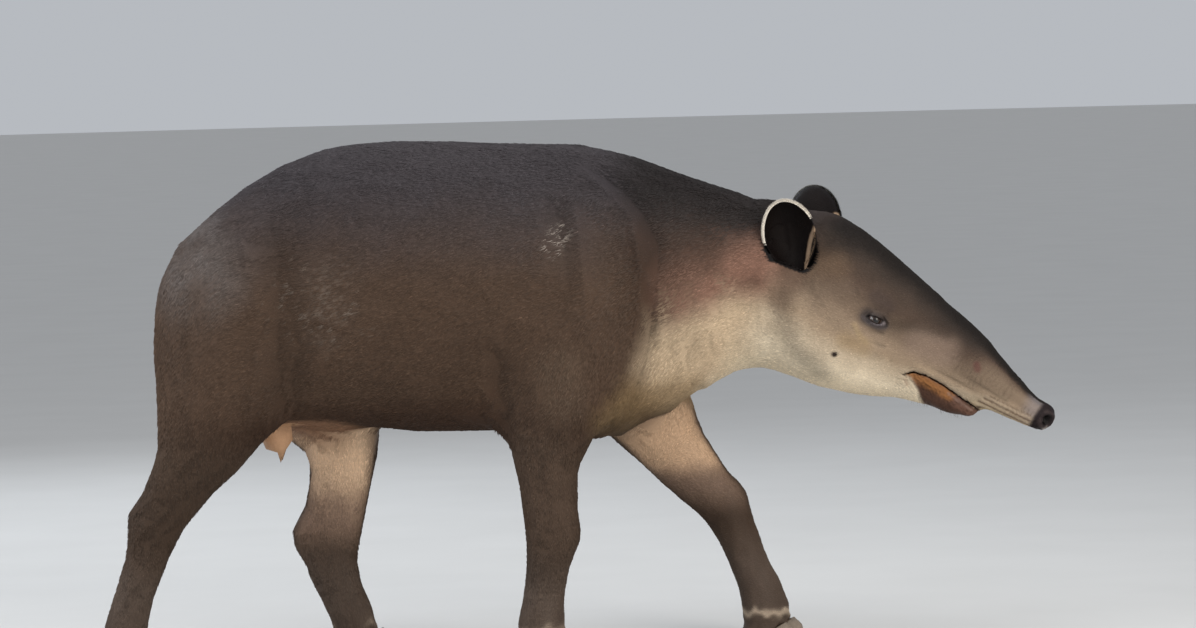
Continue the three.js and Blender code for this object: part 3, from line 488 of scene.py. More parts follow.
def hoof_material():
    """Horn: streaks down the hoof, growth rings across it, patches of dried mud."""
    graph = Graph("horn")
    streaks = graph.noise(graph.stretched((260.0, 260.0, 30.0)), 1.0, 4.0)
    rings = graph.noise(graph.stretched((12.0, 12.0, 520.0)), 1.0, 2.0)
    mud = graph.noise(graph.place(), 70.0, 5.0)
    horn = graph.mix_colour(streaks, graph.attribute("Markings", "Color"), (0.30, 0.24, 0.18))
    colour = graph.mix_colour(mud * 0.55, horn, (0.12, 0.095, 0.07))
    normal = graph.bump(streaks * 0.5 + rings, 0.0006)
    return graph.surface({"Base Color": colour, "Roughness": 0.42 + 0.3 * mud, "Normal": normal})


# camera, floor and light


def build_stage(settings):
    scene = bpy.context.scene
    scene.view_settings.view_transform = "Standard"
    target = Vector((0.051, 0.0, 0.661))
    elevation, roll = math.radians(settings.elevation), math.radians(settings.roll)
    back = Vector((0, -math.cos(elevation), math.sin(elevation)))
    level = Vector((1, 0, 0))
    upright = back.cross(level)
    side = level * math.cos(roll) - upright * math.sin(roll)
    up = upright * math.cos(roll) + level * math.sin(roll)
    turn = Matrix((side, up, back)).transposed().to_4x4()
    data = bpy.data.cameras.new("camera")
    data.sensor_width = 36
    data.lens = data.sensor_width * settings.distance / settings.width
    camera = bpy.data.objects.new("camera", data)
    camera.matrix_world = Matrix.Translation(target + back * settings.distance) @ turn
    scene.collection.objects.link(camera)
    scene.camera = camera

    bm = bmesh.new()
    bmesh.ops.create_circle(bm, cap_ends=True, segments=96, radius=60)
    floor = object_of("floor", mesh_of(bm, "floor"))
    graph = Graph("floor_paint")
    grain = graph.noise(graph.place(), 3.0, 4.0)
    colour = graph.mix_colour(grain, (0.60, 0.59, 0.57), (0.66, 0.65, 0.63))
    floor.data.materials.append(graph.surface({"Base Color": colour, "Roughness": 0.85}))

    world = bpy.data.worlds.new("studio")
    world.use_nodes = True
    sky = world.node_tree.nodes["Background"]
    sky.inputs["Color"].default_value = (0.86, 0.9, 0.96, 1)
    sky.inputs["Strength"].default_value = settings.fill
    scene.world = world
    for name, place, size, power, colour in (
        ("top", (-0.2, -0.6, 4.2), 4.0, 80, (0.94, 0.97, 1.0)),
        ("key", (2.4, -4.2, 2.6), 2.4, 105, (1.0, 0.95, 0.88)),
        ("low", (2.8, -3.2, 0.5), 2.2, 36, (1.0, 0.93, 0.84)),
        ("side", (-4.4, -1.8, 2.2), 2.6, 95, (0.97, 0.98, 1.0)),
        ("rim", (-2.0, 4.0, 3.0), 2.6, 60, (0.85, 0.92, 1.0)),
    ):
        lamp = bpy.data.lights.new(name, "AREA")
        lamp.size = size
        lamp.energy = power * settings.light
        lamp.color = colour
        light = bpy.data.objects.new(name, lamp)
        light.location = place
        aim = Vector((0.05, 0, 0.55)) - Vector(place)
        light.rotation_euler = aim.to_track_quat("-Z", "Y").to_euler()
        scene.collection.objects.link(light)


# ears


def ear_axes(side):
    """An ear's centre, and its axes: along it, the way its mouth faces, and towards the nose."""
    sign = SIDES[side]
    front = np.array((math.cos(HEAD_TURN), math.sin(HEAD_TURN), 0))
    out = np.array((-math.sin(HEAD_TURN), math.cos(HEAD_TURN), 0)) * sign
    along = unit(np.array((0, 0, 1)) + out * math.tan(EAR_LEAN_OUT) - front * math.tan(EAR_LEAN_BACK))
    mouth = unit(out - along * (out @ along))
    ahead = np.cross(along, mouth) * -sign
    return from_head(EAR_CENTRES[side]), np.array((along, mouth, ahead)).T


def to_ear(points, side):
    centre, axes = ear_axes(side)
    return (points - centre) @ axes / MM


def in_bowl(points, side):
    """Places on an ear's axes, and how far out they are in its bowl, where its outside is 1."""
    along, mouth, ahead = to_ear(points, side).T
    return along, mouth, ahead, np.sqrt((along / EAR_LONG) ** 2 + (ahead / EAR_WIDE) ** 2 + (mouth / EAR_DEEP) ** 2)


def rim_height(angle):
    """How far the rim stands out of the ear's middle plane, at an angle from its tip towards the nose."""
    return EAR_CUT * EAR_DEEP + 2.2 * np.sin(3.1 * angle + 0.6)


def rim_places(side, angle):
    """Places on an ear's rim, the way out from its middle there, and the way along it."""
    centre, axes = ear_axes(side)
    x, z = np.cos(angle), np.sin(angle)
    across = EAR_WIDE * (1 - 0.26 * np.maximum(0, -x) ** 1.5) * 1.03
    local = np.stack([x * EAR_LONG, rim_height(angle), z * across], axis=1)
    out = unit(np.stack([x, 0 * x, z], axis=1)) @ axes.T
    along = unit(np.stack([-z, 0 * x, x], axis=1)) @ axes.T
    return local @ axes.T * MM + centre, out, along


def ear_bowl(cut, shrink):
    """An open bowl on an ear's axes, narrower towards its foot, with a waved rim."""
    bm = bmesh.new()
    bmesh.ops.create_uvsphere(bm, u_segments=120, v_segments=72, radius=1)
    bmesh.ops.rotate(bm, verts=bm.verts, matrix=Matrix.Rotation(math.pi / 2, 3, "X"))
    everything = bm.verts[:] + bm.edges[:] + bm.faces[:]
    bmesh.ops.bisect_plane(bm, geom=everything, plane_co=(0, cut, 0), plane_no=(0, 1, 0), clear_outer=True)
    bmesh.ops.remove_doubles(bm, verts=bm.verts, dist=0.004)
    for vert in bm.verts:
        x, y, z = vert.co
        low, rim = max(0.0, -x), min(1.0, max(0.0, (y + 0.5) / 0.64))
        narrow = 1 - 0.26 * low**1.5
        wave = 2.2 * math.sin(3.1 * math.atan2(z, x) + 0.6) * rim
        vert.co = (
            x * (EAR_LONG - shrink) * (1 + 0.015 * rim),
            y * (EAR_DEEP - shrink + 1) + wave,
            z * (EAR_WIDE - shrink) * narrow * (1 + 0.03 * rim),
        )
    bmesh.ops.recalc_face_normals(bm, faces=bm.faces)
    bm.normal_update()
    return bm


def ear_hollow(side):
    """What the ear's bowl takes away from the flesh round it."""
    centre, axes = ear_axes(side)
    bm = ear_bowl(EAR_CUT + 0.12, 2.4)
    bmesh.ops.holes_fill(bm, edges=[edge for edge in bm.edges if edge.is_boundary])
    bmesh.ops.triangulate(bm, faces=[face for face in bm.faces if len(face.verts) > 4])
    mesh = mesh_of(bm, "ear_hollow")
    put_points(mesh, points_of(mesh) @ axes.T * MM + centre)
    if np.linalg.det(axes) < 0:
        mesh.flip_normals()
    return object_of(mesh.name, mesh)


def ear_shell(side, wall=3.4):
    """A bowl with a thin, rounded rim and the ridge of the tragus inside its lower front."""
    centre, axes = ear_axes(side)
    bm = ear_bowl(EAR_CUT, 1)
    lowest = min(bm.faces, key=lambda f: f.calc_center_median().y)
    if lowest.normal.y > 0:
        bmesh.ops.reverse_faces(bm, faces=bm.faces)
    bmesh.ops.solidify(bm, geom=bm.faces[:], thickness=wall)
    bmesh.ops.recalc_face_normals(bm, faces=bm.faces)
    shell = object_of("ear_" + side + "_shell", mesh_of(bm, "ear_" + side + "_shell"))
    local = points_of(shell.data)
    angle = np.arctan2(local[:, 2] / EAR_WIDE, local[:, 0] / EAR_LONG)
    local = relaxed(shell, smooth_step(4, 1, np.abs(local[:, 1] - rim_height(angle))), 4)
    along, mouth, ahead = local.T
    bowl = np.sqrt((along / EAR_LONG) ** 2 + (ahead / EAR_WIDE) ** 2 + (mouth / EAR_DEEP) ** 2)
    inner = smooth_step(0.985, 0.965, bowl) * smooth_step(4, -2, mouth)
    ridge = 6 * bell(distance(local[:, [0, 2]], TRAGUS), 0, 5.5) + 2 * bell(distance(local[:, [0, 2]], ((10, -8), (-50, -12))), 0, 6)
    local[:, 1] += ridge * inner
    put_points(shell.data, local @ axes.T * MM + centre)
    if np.linalg.det(axes) < 0:
        shell.data.flip_normals()
    return shell


# the skin


# Lines that stand up from the body or sink into it: points, width and rise, on both sides alike.
BODY_LINES = (
    (((0.062, 0.097, 0.946), (0.139, 0.116, 0.88), (0.18, 0.132, 0.791), (0.168, 0.147, 0.713), (0.152, 0.148, 0.615), (0.13, 0.13, 0.535)), 0.022, -0.006),
    (((0.02, 0.11, 0.93), (0.10, 0.135, 0.87), (0.135, 0.15, 0.79), (0.125, 0.155, 0.70)), 0.03, 0.005),
    (((0.010, 0.15, 0.90), (0.024, 0.187, 0.769), (0.022, 0.19, 0.68)), 0.016, 0.003),
    (((-0.022, 0.16, 0.89), (-0.010, 0.19, 0.77), (-0.012, 0.19, 0.69)), 0.02, -0.0028),
    (((-0.145, 0.2, 0.61), (-0.142, 0.19, 0.53), (-0.125, 0.16, 0.46)), 0.02, -0.006),
    (((-0.571, 0.176, 0.833), (-0.552, 0.2, 0.72), (-0.542, 0.208, 0.646), (-0.56, 0.19, 0.53)), 0.042, -0.0045),
    (((-0.62, 0.185, 0.80), (-0.605, 0.2, 0.68), (-0.62, 0.19, 0.55)), 0.045, 0.005),
    (((-0.49, 0.205, 0.60), (-0.545, 0.19, 0.50), (-0.60, 0.165, 0.445)), 0.016, 0.005),
    (((-0.50, 0.205, 0.565), (-0.56, 0.18, 0.47)), 0.01, -0.003),
    (((0.10, 0.11, 0.50), (0.06, 0.07, 0.44)), 0.016, -0.005),
    (((0.25, 0.115, 0.62), (0.21, 0.11, 0.545), (0.17, 0.09, 0.48)), 0.012, -0.0025),
    (((0.225, 0.12, 0.60), (0.185, 0.11, 0.53)), 0.012, 0.0025),
)
# Broad swellings and hollows: centre, reach along each axis, and rise.
BODY_SWELLS = (
    ((0.055, 0.17, 0.78), (0.10, 0.12, 0.16), 0.005),
    ((-0.03, 0.17, 0.60), (0.11, 0.1, 0.10), 0.006),
    ((-0.70, 0.17, 0.64), (0.11, 0.12, 0.18), 0.006),
    ((-0.49, 0.12, 0.95), (0.06, 0.07, 0.05), 0.004),
    ((-0.45, 0.2, 0.80), (0.08, 0.1, 0.09), -0.005),
    ((-0.20, 0.22, 0.55), (0.24, 0.1, 0.13), 0.001),
    ((0.28, 0.11, 0.70), (0.09, 0.1, 0.07), -0.003),
)
# Fields of wrinkles: a line, its reach, the way across the wrinkles, their spacing and depth.
BODY_WRINKLES = (
    (((-0.135, 0.2, 0.60), (-0.13, 0.15, 0.46)), 0.02, 0.05, (1, 0, 0.2), 0.013, 0.0028),
    (((0.16, 0.12, 0.60), (0.10, 0.09, 0.47)), 0.02, 0.06, (0.8, 0, 0.6), 0.013, 0.0014),
    (((0.20, 0.12, 0.64), (0.33, 0.09, 0.56)), 0.02, 0.06, (1, 0, 0.15), 0.015, 0.0015),
    (((-0.05, 0.15, 0.50), (-0.03, 0.14, 0.40)), 0.03, 0.05, (0.3, 0, 1), 0.012, 0.0012),
    (((-0.56, 0.19, 0.55), (-0.62, 0.15, 0.44)), 0.02, 0.05, (1, 0, -0.6), 0.012, 0.0016),
    (((-0.53, 0.2, 0.68), (-0.48, 0.21, 0.62)), 0.02, 0.06, (0.4, 0, 1), 0.014, 0.0009),
    (((-0.48, 0.06, 0.42), (-0.50, 0.07, 0.28)), 0.03, 0.05, (0.15, 0, 1), 0.010, 0.0009),
    (((-0.058, 0.12, 0.21), (-0.058, 0.12, 0.15)), 0.05, 0.03, (0.2, 0, 1), 0.010, 0.0018),
    (((0.29, 0.10, 0.235), (0.33, 0.10, 0.165)), 0.05, 0.03, (-0.4, 0, 1), 0.010, 0.0016),
    (((-0.84, 0.12, 0.33), (-0.86, 0.12, 0.22)), 0.05, 0.03, (0.3, 0, 1), 0.010, 0.0013),
    (((-0.545, 0.1, 0.24), (-0.50, 0.1, 0.16)), 0.05, 0.03, (-0.3, 0, 1), 0.010, 0.0013),
    (((-0.9, 0.11, 0.09), (0.42, 0.11, 0.09)), 0.07, 0.03, (0, 0, 1), 0.0075, 0.0012),
)
# The same on the head, in millimetres: lines, swellings, and wrinkles.
HEAD_LINES = (
    (((150, 80, 52), (185, 82, 58), (222, 74, 56)), 7, 2.2),
    (((168, 84, 42), (200, 84, 46), (232, 72, 38)), 3, -1.4),
    (((178, 88, 8), (206, 84, 0), (232, 74, 8)), 3.2, -1.6),
    (((172, 90, -2), (206, 86, -11), (238, 74, -2)), 4, 1.5),
    (((176, 90, -14), (208, 86, -22), (246, 72, -12)), 3.5, -0.9),
    (((60, 96, 20), (120, 92, -4), (180, 88, -22), (240, 74, -24)), 16, 4),
    (((240, 68, 30), (290, 60, 58), (335, 50, 70)), 14, -3),
    (((245, 72, -20), (300, 62, -8), (360, 48, 8)), 16, 3),
    (((30, 96, -40), (90, 92, -110), (170, 66, -130)), 26, -2.5),
    (((306, 62, -44), (300, 66, -60), (304, 56, -78)), 5, -2.4),
    (((296, 66, -30), (288, 70, -52), (292, 62, -80)), 6, 1.6),
    (((312, 52, -66), (350, 44, -70), (400, 34, -60)), 5, -1.6),
    (((338, 48, -30), (385, 38, -30), (440, 24, -30)), 7, 2.4),
    (((318, 54, -14), (360, 48, -8), (420, 42, -8), (470, 36, -8)), 7, 2.0),
    (((345, 50, 2), (400, 46, 4), (460, 38, 6)), 3, -1.0),
    (((380, 46, 20), (440, 40, 22), (500, 33, 22)), 3.5, -0.8),
    (((455, 30, -8), (510, 25, -2), (560, 20, 4)), 2.4, -2.2),
    (((462, 34, 3), (515, 29, 8), (562, 27, 14)), 2.4, -2.2),
    (((470, 37, 13), (520, 32, 18), (556, 30, 24)), 2.2, -1.5),
)
HEAD_SWELLS = (
    ((120, 88, -60), (60, 40, 55), 3.5),
    ((110, 80, 62), (40, 40, 26), -5.0),
    ((262, 66, 10), (26, 30, 24), -2.5),
    ((345, 46, 60), (40, 30, 20), 2.5),
    ((60, 0, 150), (70, 30, 40), 3.0),
    ((405, 24, -54), (44, 34, 16), 6.0),
    ((450, 10, -37), (15, 24, 13), 6.0),
)
HEAD_WRINKLES = (
    (((410, 30, 60), (585, 20, 45)), 45, 14, (1, 0, -0.15), 7.5, 0.7),
    (((470, 10, -10), (580, 10, 4)), 18, 12, (0.1, 1, 0.4), 5.5, 1.0),
    (((330, 52, 0), (420, 42, -2)), 8, 14, (0.25, 0, 1), 6.5, 0.6),
    (((203, 84, 22), (203, 84, 21)), 26, 20, (0.2, 0, 1), 5.0, 0.5),
    (((325, 42, -50), (440, 22, -42)), 24, 10, (0.22, 0, 1), 6.5, 1.9),
    (((350, 42, -56), (440, 22, -46)), 20, 8, (1, 0, 0.5), 4.6, 0.9),
    (((60, 90, -20), (20, 90, -110)), 26, 40, (1, 0, 0.4), 21, 0.4),
)


def add_forms(points, lines, swells, wrinkles, seed):
    """How far each point rises along its normal, and how deep in a crease it is."""
    rise = np.zeros(len(points))
    crease = np.zeros(len(points))
    for line, width, height in lines:
        shape = bell(distance(points, line), 0, width)
        rise += shape * height
        if height < 0:
            crease = np.maximum(crease, shape)
    for centre, reach, height in swells:
        rise += np.exp(-np.sum(((points - centre) / reach) ** 2, axis=1)) * height
    for k, (line, radius, soft, across, spacing, depth) in enumerate(wrinkles):
        inside = patch(points, line, radius, soft)
        near = np.flatnonzero(inside > 0.01)
        if not len(near):
            continue
        some = points[near]
        bend = noise(some, spacing * 4, seed + k) * 2.1 + noise(some, spacing * 1.6, seed + k + 50) * 0.5
        phase = some @ unit(np.array(across, float)) / spacing + bend
        groove = (0.5 + 0.5 * np.cos(2 * math.pi * phase)) ** 3
        broken = smooth_step(-0.5, 0.3, noise(some, spacing * 3, seed + k + 90))
        amount = inside[near] * broken
        rise[near] -= amount * (groove - 0.3) * depth
        crease[near] = np.maximum(crease[near], amount * groove * 0.8)
    return rise, crease


def flesh_solid():
    """Every solid of flesh as one closed, even mesh. The eyes fill their sockets here, and the ears come later."""
    names = [name for name in FLESH + list(EYES) if name not in EARS]
    skin = joined("skin", [cad_solid(name, 0.4 * MM) for name in names])
    modified(skin, "REMESH", mode="VOXEL", voxel_size=4.5 * MM, adaptivity=0)
    return skin


def facet_size(points):
    """How far the facets of the solids have to be smoothed away round each point, in metres."""
    sizes = {"torso": 30, "neck": 15, "head": 11, "proboscis": 14, "eye": 5, "udder": 6, "tail": 8}
    sizes |= {"foreleg": 14, "thigh": 16, "shank": 12, "forefoot": 6, "hindfoot": 6}
    owners, corners = [], []
    for name in FLESH + list(EYES):
        co = points_of(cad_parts[name].data)
        corners.append(co)
        owners += [sizes.get(name.rsplit("_", 1)[0], 5)] * len(co)
    corners = np.concatenate(corners)
    tree = KDTree(len(corners))
    for i, co in enumerate(corners):
        tree.insert(co, i)
    tree.balance()
    return np.array([owners[tree.find(co)[1]] for co in points]) * MM


def mouth_slot():
    """The gap between the lips, a thin wedge through the head that opens towards the tip of the lip."""
    bm = bmesh.new()
    upper = [(u, v + (0.2 if u < 310 else 1.1)) for u, v in MOUTH]
    lower = [(u, v - (0.2 if u < 310 else 1.1)) for u, v in reversed(MOUTH)]
    ring = [bm.verts.new(from_head((u, -120, v))) for u, v in upper + lower]
    face = bm.faces.new(ring)
    made = bmesh.ops.extrude_face_region(bm, geom=[face])["geom"]
    across = Vector(HEAD_AXES[:, 1]) * 240 * MM
    bmesh.ops.translate(bm, verts=[g for g in made if isinstance(g, bmesh.types.BMVert)], vec=across)
    bmesh.ops.recalc_face_normals(bm, faces=bm.faces)
    return object_of("mouth_slot", mesh_of(bm, "mouth_slot"))


def join_ears(skin):
    """The ears grow out of the skin: joined to it, and smoothed where they meet."""
    for side in SIDES:
        combined(skin, ear_hollow(side), "DIFFERENCE")
        shell = ear_shell(side)
        before = BVHTree.FromObject(skin, bpy.context.evaluated_depsgraph_get())
        ear = BVHTree.FromObject(shell, bpy.context.evaluated_depsgraph_get())
        combined(skin, shell, "UNION")
        points = points_of(skin.data)
        centre = ear_axes(side)[0]
        near = np.flatnonzero(np.linalg.norm(points - centre, axis=1) < 0.11)
        weights = np.zeros(len(points))
        for i in near:
            here = Vector(points[i])
            away = max(before.find_nearest(here)[3], ear.find_nearest(here)[3])
            weights[i] = max(0.0, 1 - away / 0.008)
        relaxed(skin, weights, 8)


def eye_axes(sign):
    """An eye's centre on the head's axes, and its own axes: its gaze, along its opening, and up."""
    look = EYE_LOOKS_AHEAD
    gaze = np.array((math.sin(look), sign * math.cos(look), 0))
    level = np.array((math.cos(look), -sign * math.sin(look), 0))
    along = level * math.cos(EYE_SLOPES) + np.array((0, 0, 1)) * math.sin(EYE_SLOPES)
    up = np.cross(gaze, along)
    up *= np.sign(up[2])
    return EYE_CENTRE * (1, sign, 1), np.array((gaze, along, up)).T


def round_eye(local, sign):
    """Places on an eye's axes, and how far they are outside the opening between its lids."""
    centre, axes = eye_axes(sign)
    gaze, along, up = ((local - centre) @ axes).T
    almond = np.sqrt(np.clip(1 - (along / EYE_OPENING) ** 2, 0, 1)) ** 1.3
    height = np.where(up > 0, UPPER_LID, LOWER_LID) * almond
    past = np.abs(along) - EYE_OPENING
    beyond = np.where(past < 0, np.abs(up) - height, np.hypot(past, up))
    near = (gaze > 0) & (np.abs(along) < 42) & (np.abs(up) < 34)
    return gaze, along, up, beyond, near


def shape_lids(local):
    """Opens the lids over each eyeball. Returns the moved points and how bare the skin is."""
    bare = np.zeros(len(local))
    moved = local.copy()
    for sign in (-1, 1):
        gaze, along, up, beyond, near = round_eye(local, sign)
        radius = np.hypot(along, up)
        ball = np.sqrt(np.clip(EYE_RADIUS**2 - radius**2, 9, None))
        hollow = np.where(radius < EYE_RADIUS - 1, ball - 3.0, ball - 0.2 * (radius - EYE_RADIUS + 1))
        hollow += 5.5 * bell(along, 16, 3.2)
        margin = 1 - np.exp(-np.clip(beyond, 0, None) / 1.1)
        lid = np.sqrt(np.clip((EYE_RADIUS + 0.8 + 2.4 * margin) ** 2 - radius**2, 25, None))
        fold = -1.5 * bell(beyond, 5.4, 1.3) * (up > 0) - 1.1 * bell(beyond, 6.5, 1.4) * (up <= 0)
        fold += 1.0 * bell(beyond, 8.6, 2.0) - 0.7 * bell(beyond, 12.5, 1.8)
        level = lid * (1 - smooth_step(3, 12, beyond)) + gaze * smooth_step(3, 12, beyond) + fold
        target = np.where(beyond < 0, hollow, level)
        shift = np.where(near, (target - gaze) * (1 - smooth_step(26, 34, radius)), 0)
        moved += shift[:, None] * eye_axes(sign)[1][:, 0]
        bare = np.maximum(bare, near * (1 - smooth_step(0.5, 4.5, beyond)))
    return moved, bare


def shape_nose(local):
    """The disc at the tip: two round nostrils with thick rims, a groove between them and pads round the edge."""
    u, w, v = local.T
    face = smooth_step(NOSE_START, NOSE_START + 12, u)
    out = np.hypot(np.abs(w) - NOSTRIL[0], (v - NOSTRIL[1]) * 0.8)
    pit = -15 * (1 - smooth_step(4.5, 9, out))
    rim = 3.0 * bell(out, 11.5, 2.6) - 1.8
    groove = -2.2 * bell(w, 0, 2.2) * smooth_step(8, 20, v)
    edge = np.hypot(w, v - NOSTRIL[1])
    around = np.arctan2(w, v - NOSTRIL[1])
    pads = 1.0 * bell(edge, 25, 4) * np.cos(around * 11)
    shift = face * (pit + rim + groove + pads)
    moved = local + np.outer(shift, (1, 0, 0))
    return moved, face * 0.9 + smooth_step(NOSE_START - 12, NOSE_START, u) * 0.1, face * smooth_step(1, 12, -pit)


def build_skin(settings):
    skin = flesh_solid()
    points = points_of(skin.data)
    reach = spread(facet_size(points), edges_of(skin.data), 40)
    step = 4.5 * MM
    rounds = int(reach.max() ** 2 / (0.25 * step * step))
    smoothed(skin, (reach / reach.max()) ** 2, rounds)
    combined(skin, mouth_slot(), "DIFFERENCE")
    join_ears(skin)

    # The body's forms.
    points, normals = points_of(skin.data), normals_of(skin.data)
    mirrored = points * (1, 0, 1) + np.abs(points) * (0, 1, 0)
    rise, crease = add_forms(mirrored, BODY_LINES, BODY_SWELLS, (), 0)
    off_head = 1 - smooth_step(0, 60, to_head(points)[:, 0])
    rise = rise * off_head - settings.coat_depth
    put_points(skin.data, points + normals * rise[:, None])

    # A finer mesh on the head, and finer again at the lips, nose and eyes.
    local = to_head(points_of(skin.data))
    on_head = (local[:, 0] > -50) & (np.abs(local[:, 1]) < 135) & (local[:, 2] > -210)
    subdivided(skin, on_head)
    for reach in (1, 2):
        local = to_head(points_of(skin.data))
        u, w, v = local.T
        eye = np.linalg.norm(local * (1, 0, 1) + np.abs(local) * (0, 1, 0) - EYE_CENTRE, axis=1) < (40 if reach == 1 else 30)
        lips = (np.abs(v - along_line(MOUTH, u)) < 9) & (u > 300) & (u < 480)
        nose = u > NOSE_START - 20
        subdivided(skin, eye | ((lips | nose) if reach == 1 else (u > NOSE_START)))

    points, normals = points_of(skin.data), normals_of(skin.data)
    local = to_head(points)
    on_head = smooth_step(-60, 0, local[:, 0])
    mirrored = points * (1, 0, 1) + np.abs(points) * (0, 1, 0)
    rise, crease = add_forms(mirrored, (), (), BODY_WRINKLES, 0)
    lines = add_forms(mirrored, [line for line in BODY_LINES if line[2] < 0], (), (), 0)[1]
    crease = np.maximum(crease, lines * 0.7) * (1 - on_head)
    rise *= 1 - on_head
    head_mirrored = local * (1, 0, 1) + np.abs(local) * (0, 1, 0)
    keep = 1 - bell(np.linalg.norm(head_mirrored - EYE_CENTRE - (0, 14, 0), axis=1), 0, 14)
    head_rise, head_crease = add_forms(head_mirrored, HEAD_LINES, HEAD_SWELLS, HEAD_WRINKLES, 20)
    rise += head_rise * MM * on_head * keep
    crease = np.maximum(crease, head_crease * on_head)
    rise += 0.0007 * noise(points, 0.03, 5) + 0.0003 * noise(points, 0.011, 6)
    points += normals * rise[:, None]
    local = to_head(points)
    at_head = local[:, 0] > -60
    eyes, bare = shape_lids(local)
    nose, bare_nose, pit = shape_nose(eyes)
    local = np.where(at_head[:, None], nose, local)
    bare = np.maximum(bare, bare_nose) * at_head
    crease = np.maximum(crease, pit * at_head)
    put_points(skin.data, from_head(local))
    # Crease depth, which later darkens the colour there as painted shade.
    put_number(skin.data, "Crease", crease)
    put_number(skin.data, "Bare", bare)

    # Fewer faces, and most of them kept on the head.
    detail = smooth_step(-80, 40, local[:, 0]) * 0.8 + 0.2 * (points[:, 2] < 0.12)
    for side in SIDES:
        detail = np.maximum(detail, in_bowl(points, side)[3] < 1.2)
    weigh(skin, "plain", 1 - detail)
    count = sum(len(face.vertices) - 2 for face in skin.data.polygons)
    ratio = settings.faces / count
    modified(skin, "DECIMATE", ratio=ratio, vertex_group="plain", vertex_group_factor=1.0)
    skin.vertex_groups.clear()
    finish_skin(skin)
    return skin


def finish_skin(skin):
    mesh = skin.data
    mesh.shade_smooth()
    points, normals = points_of(mesh), normals_of(mesh)
    colours, bare = markings(points, normals)
    bare = np.maximum(bare, get_number(mesh, "Bare"))
    # Painted shade: darker in creases, folds and the nostril pits.
    colours *= 1 - 0.4 * get_number(mesh, "Crease")[:, None]
    put_number(mesh, "Bare", bare)
    put_colours(mesh, colours)
    mesh.materials.clear()
    mesh.materials.append(skin_material())
    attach(skin, "root")
    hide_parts(*FLESH)


# markings


def white_edge(angle, side):
    """How white an ear's edge is, at an angle from its tip towards the nose."""
    middle = {"right": -0.25, "left": 0.25}[side]
    return smooth_step(0.1, 0.55, np.cos(angle - middle)) * 0.95


def blend_in(paint, colour, mask):
    paint += (np.asarray(colour) - paint) * mask[:, None]


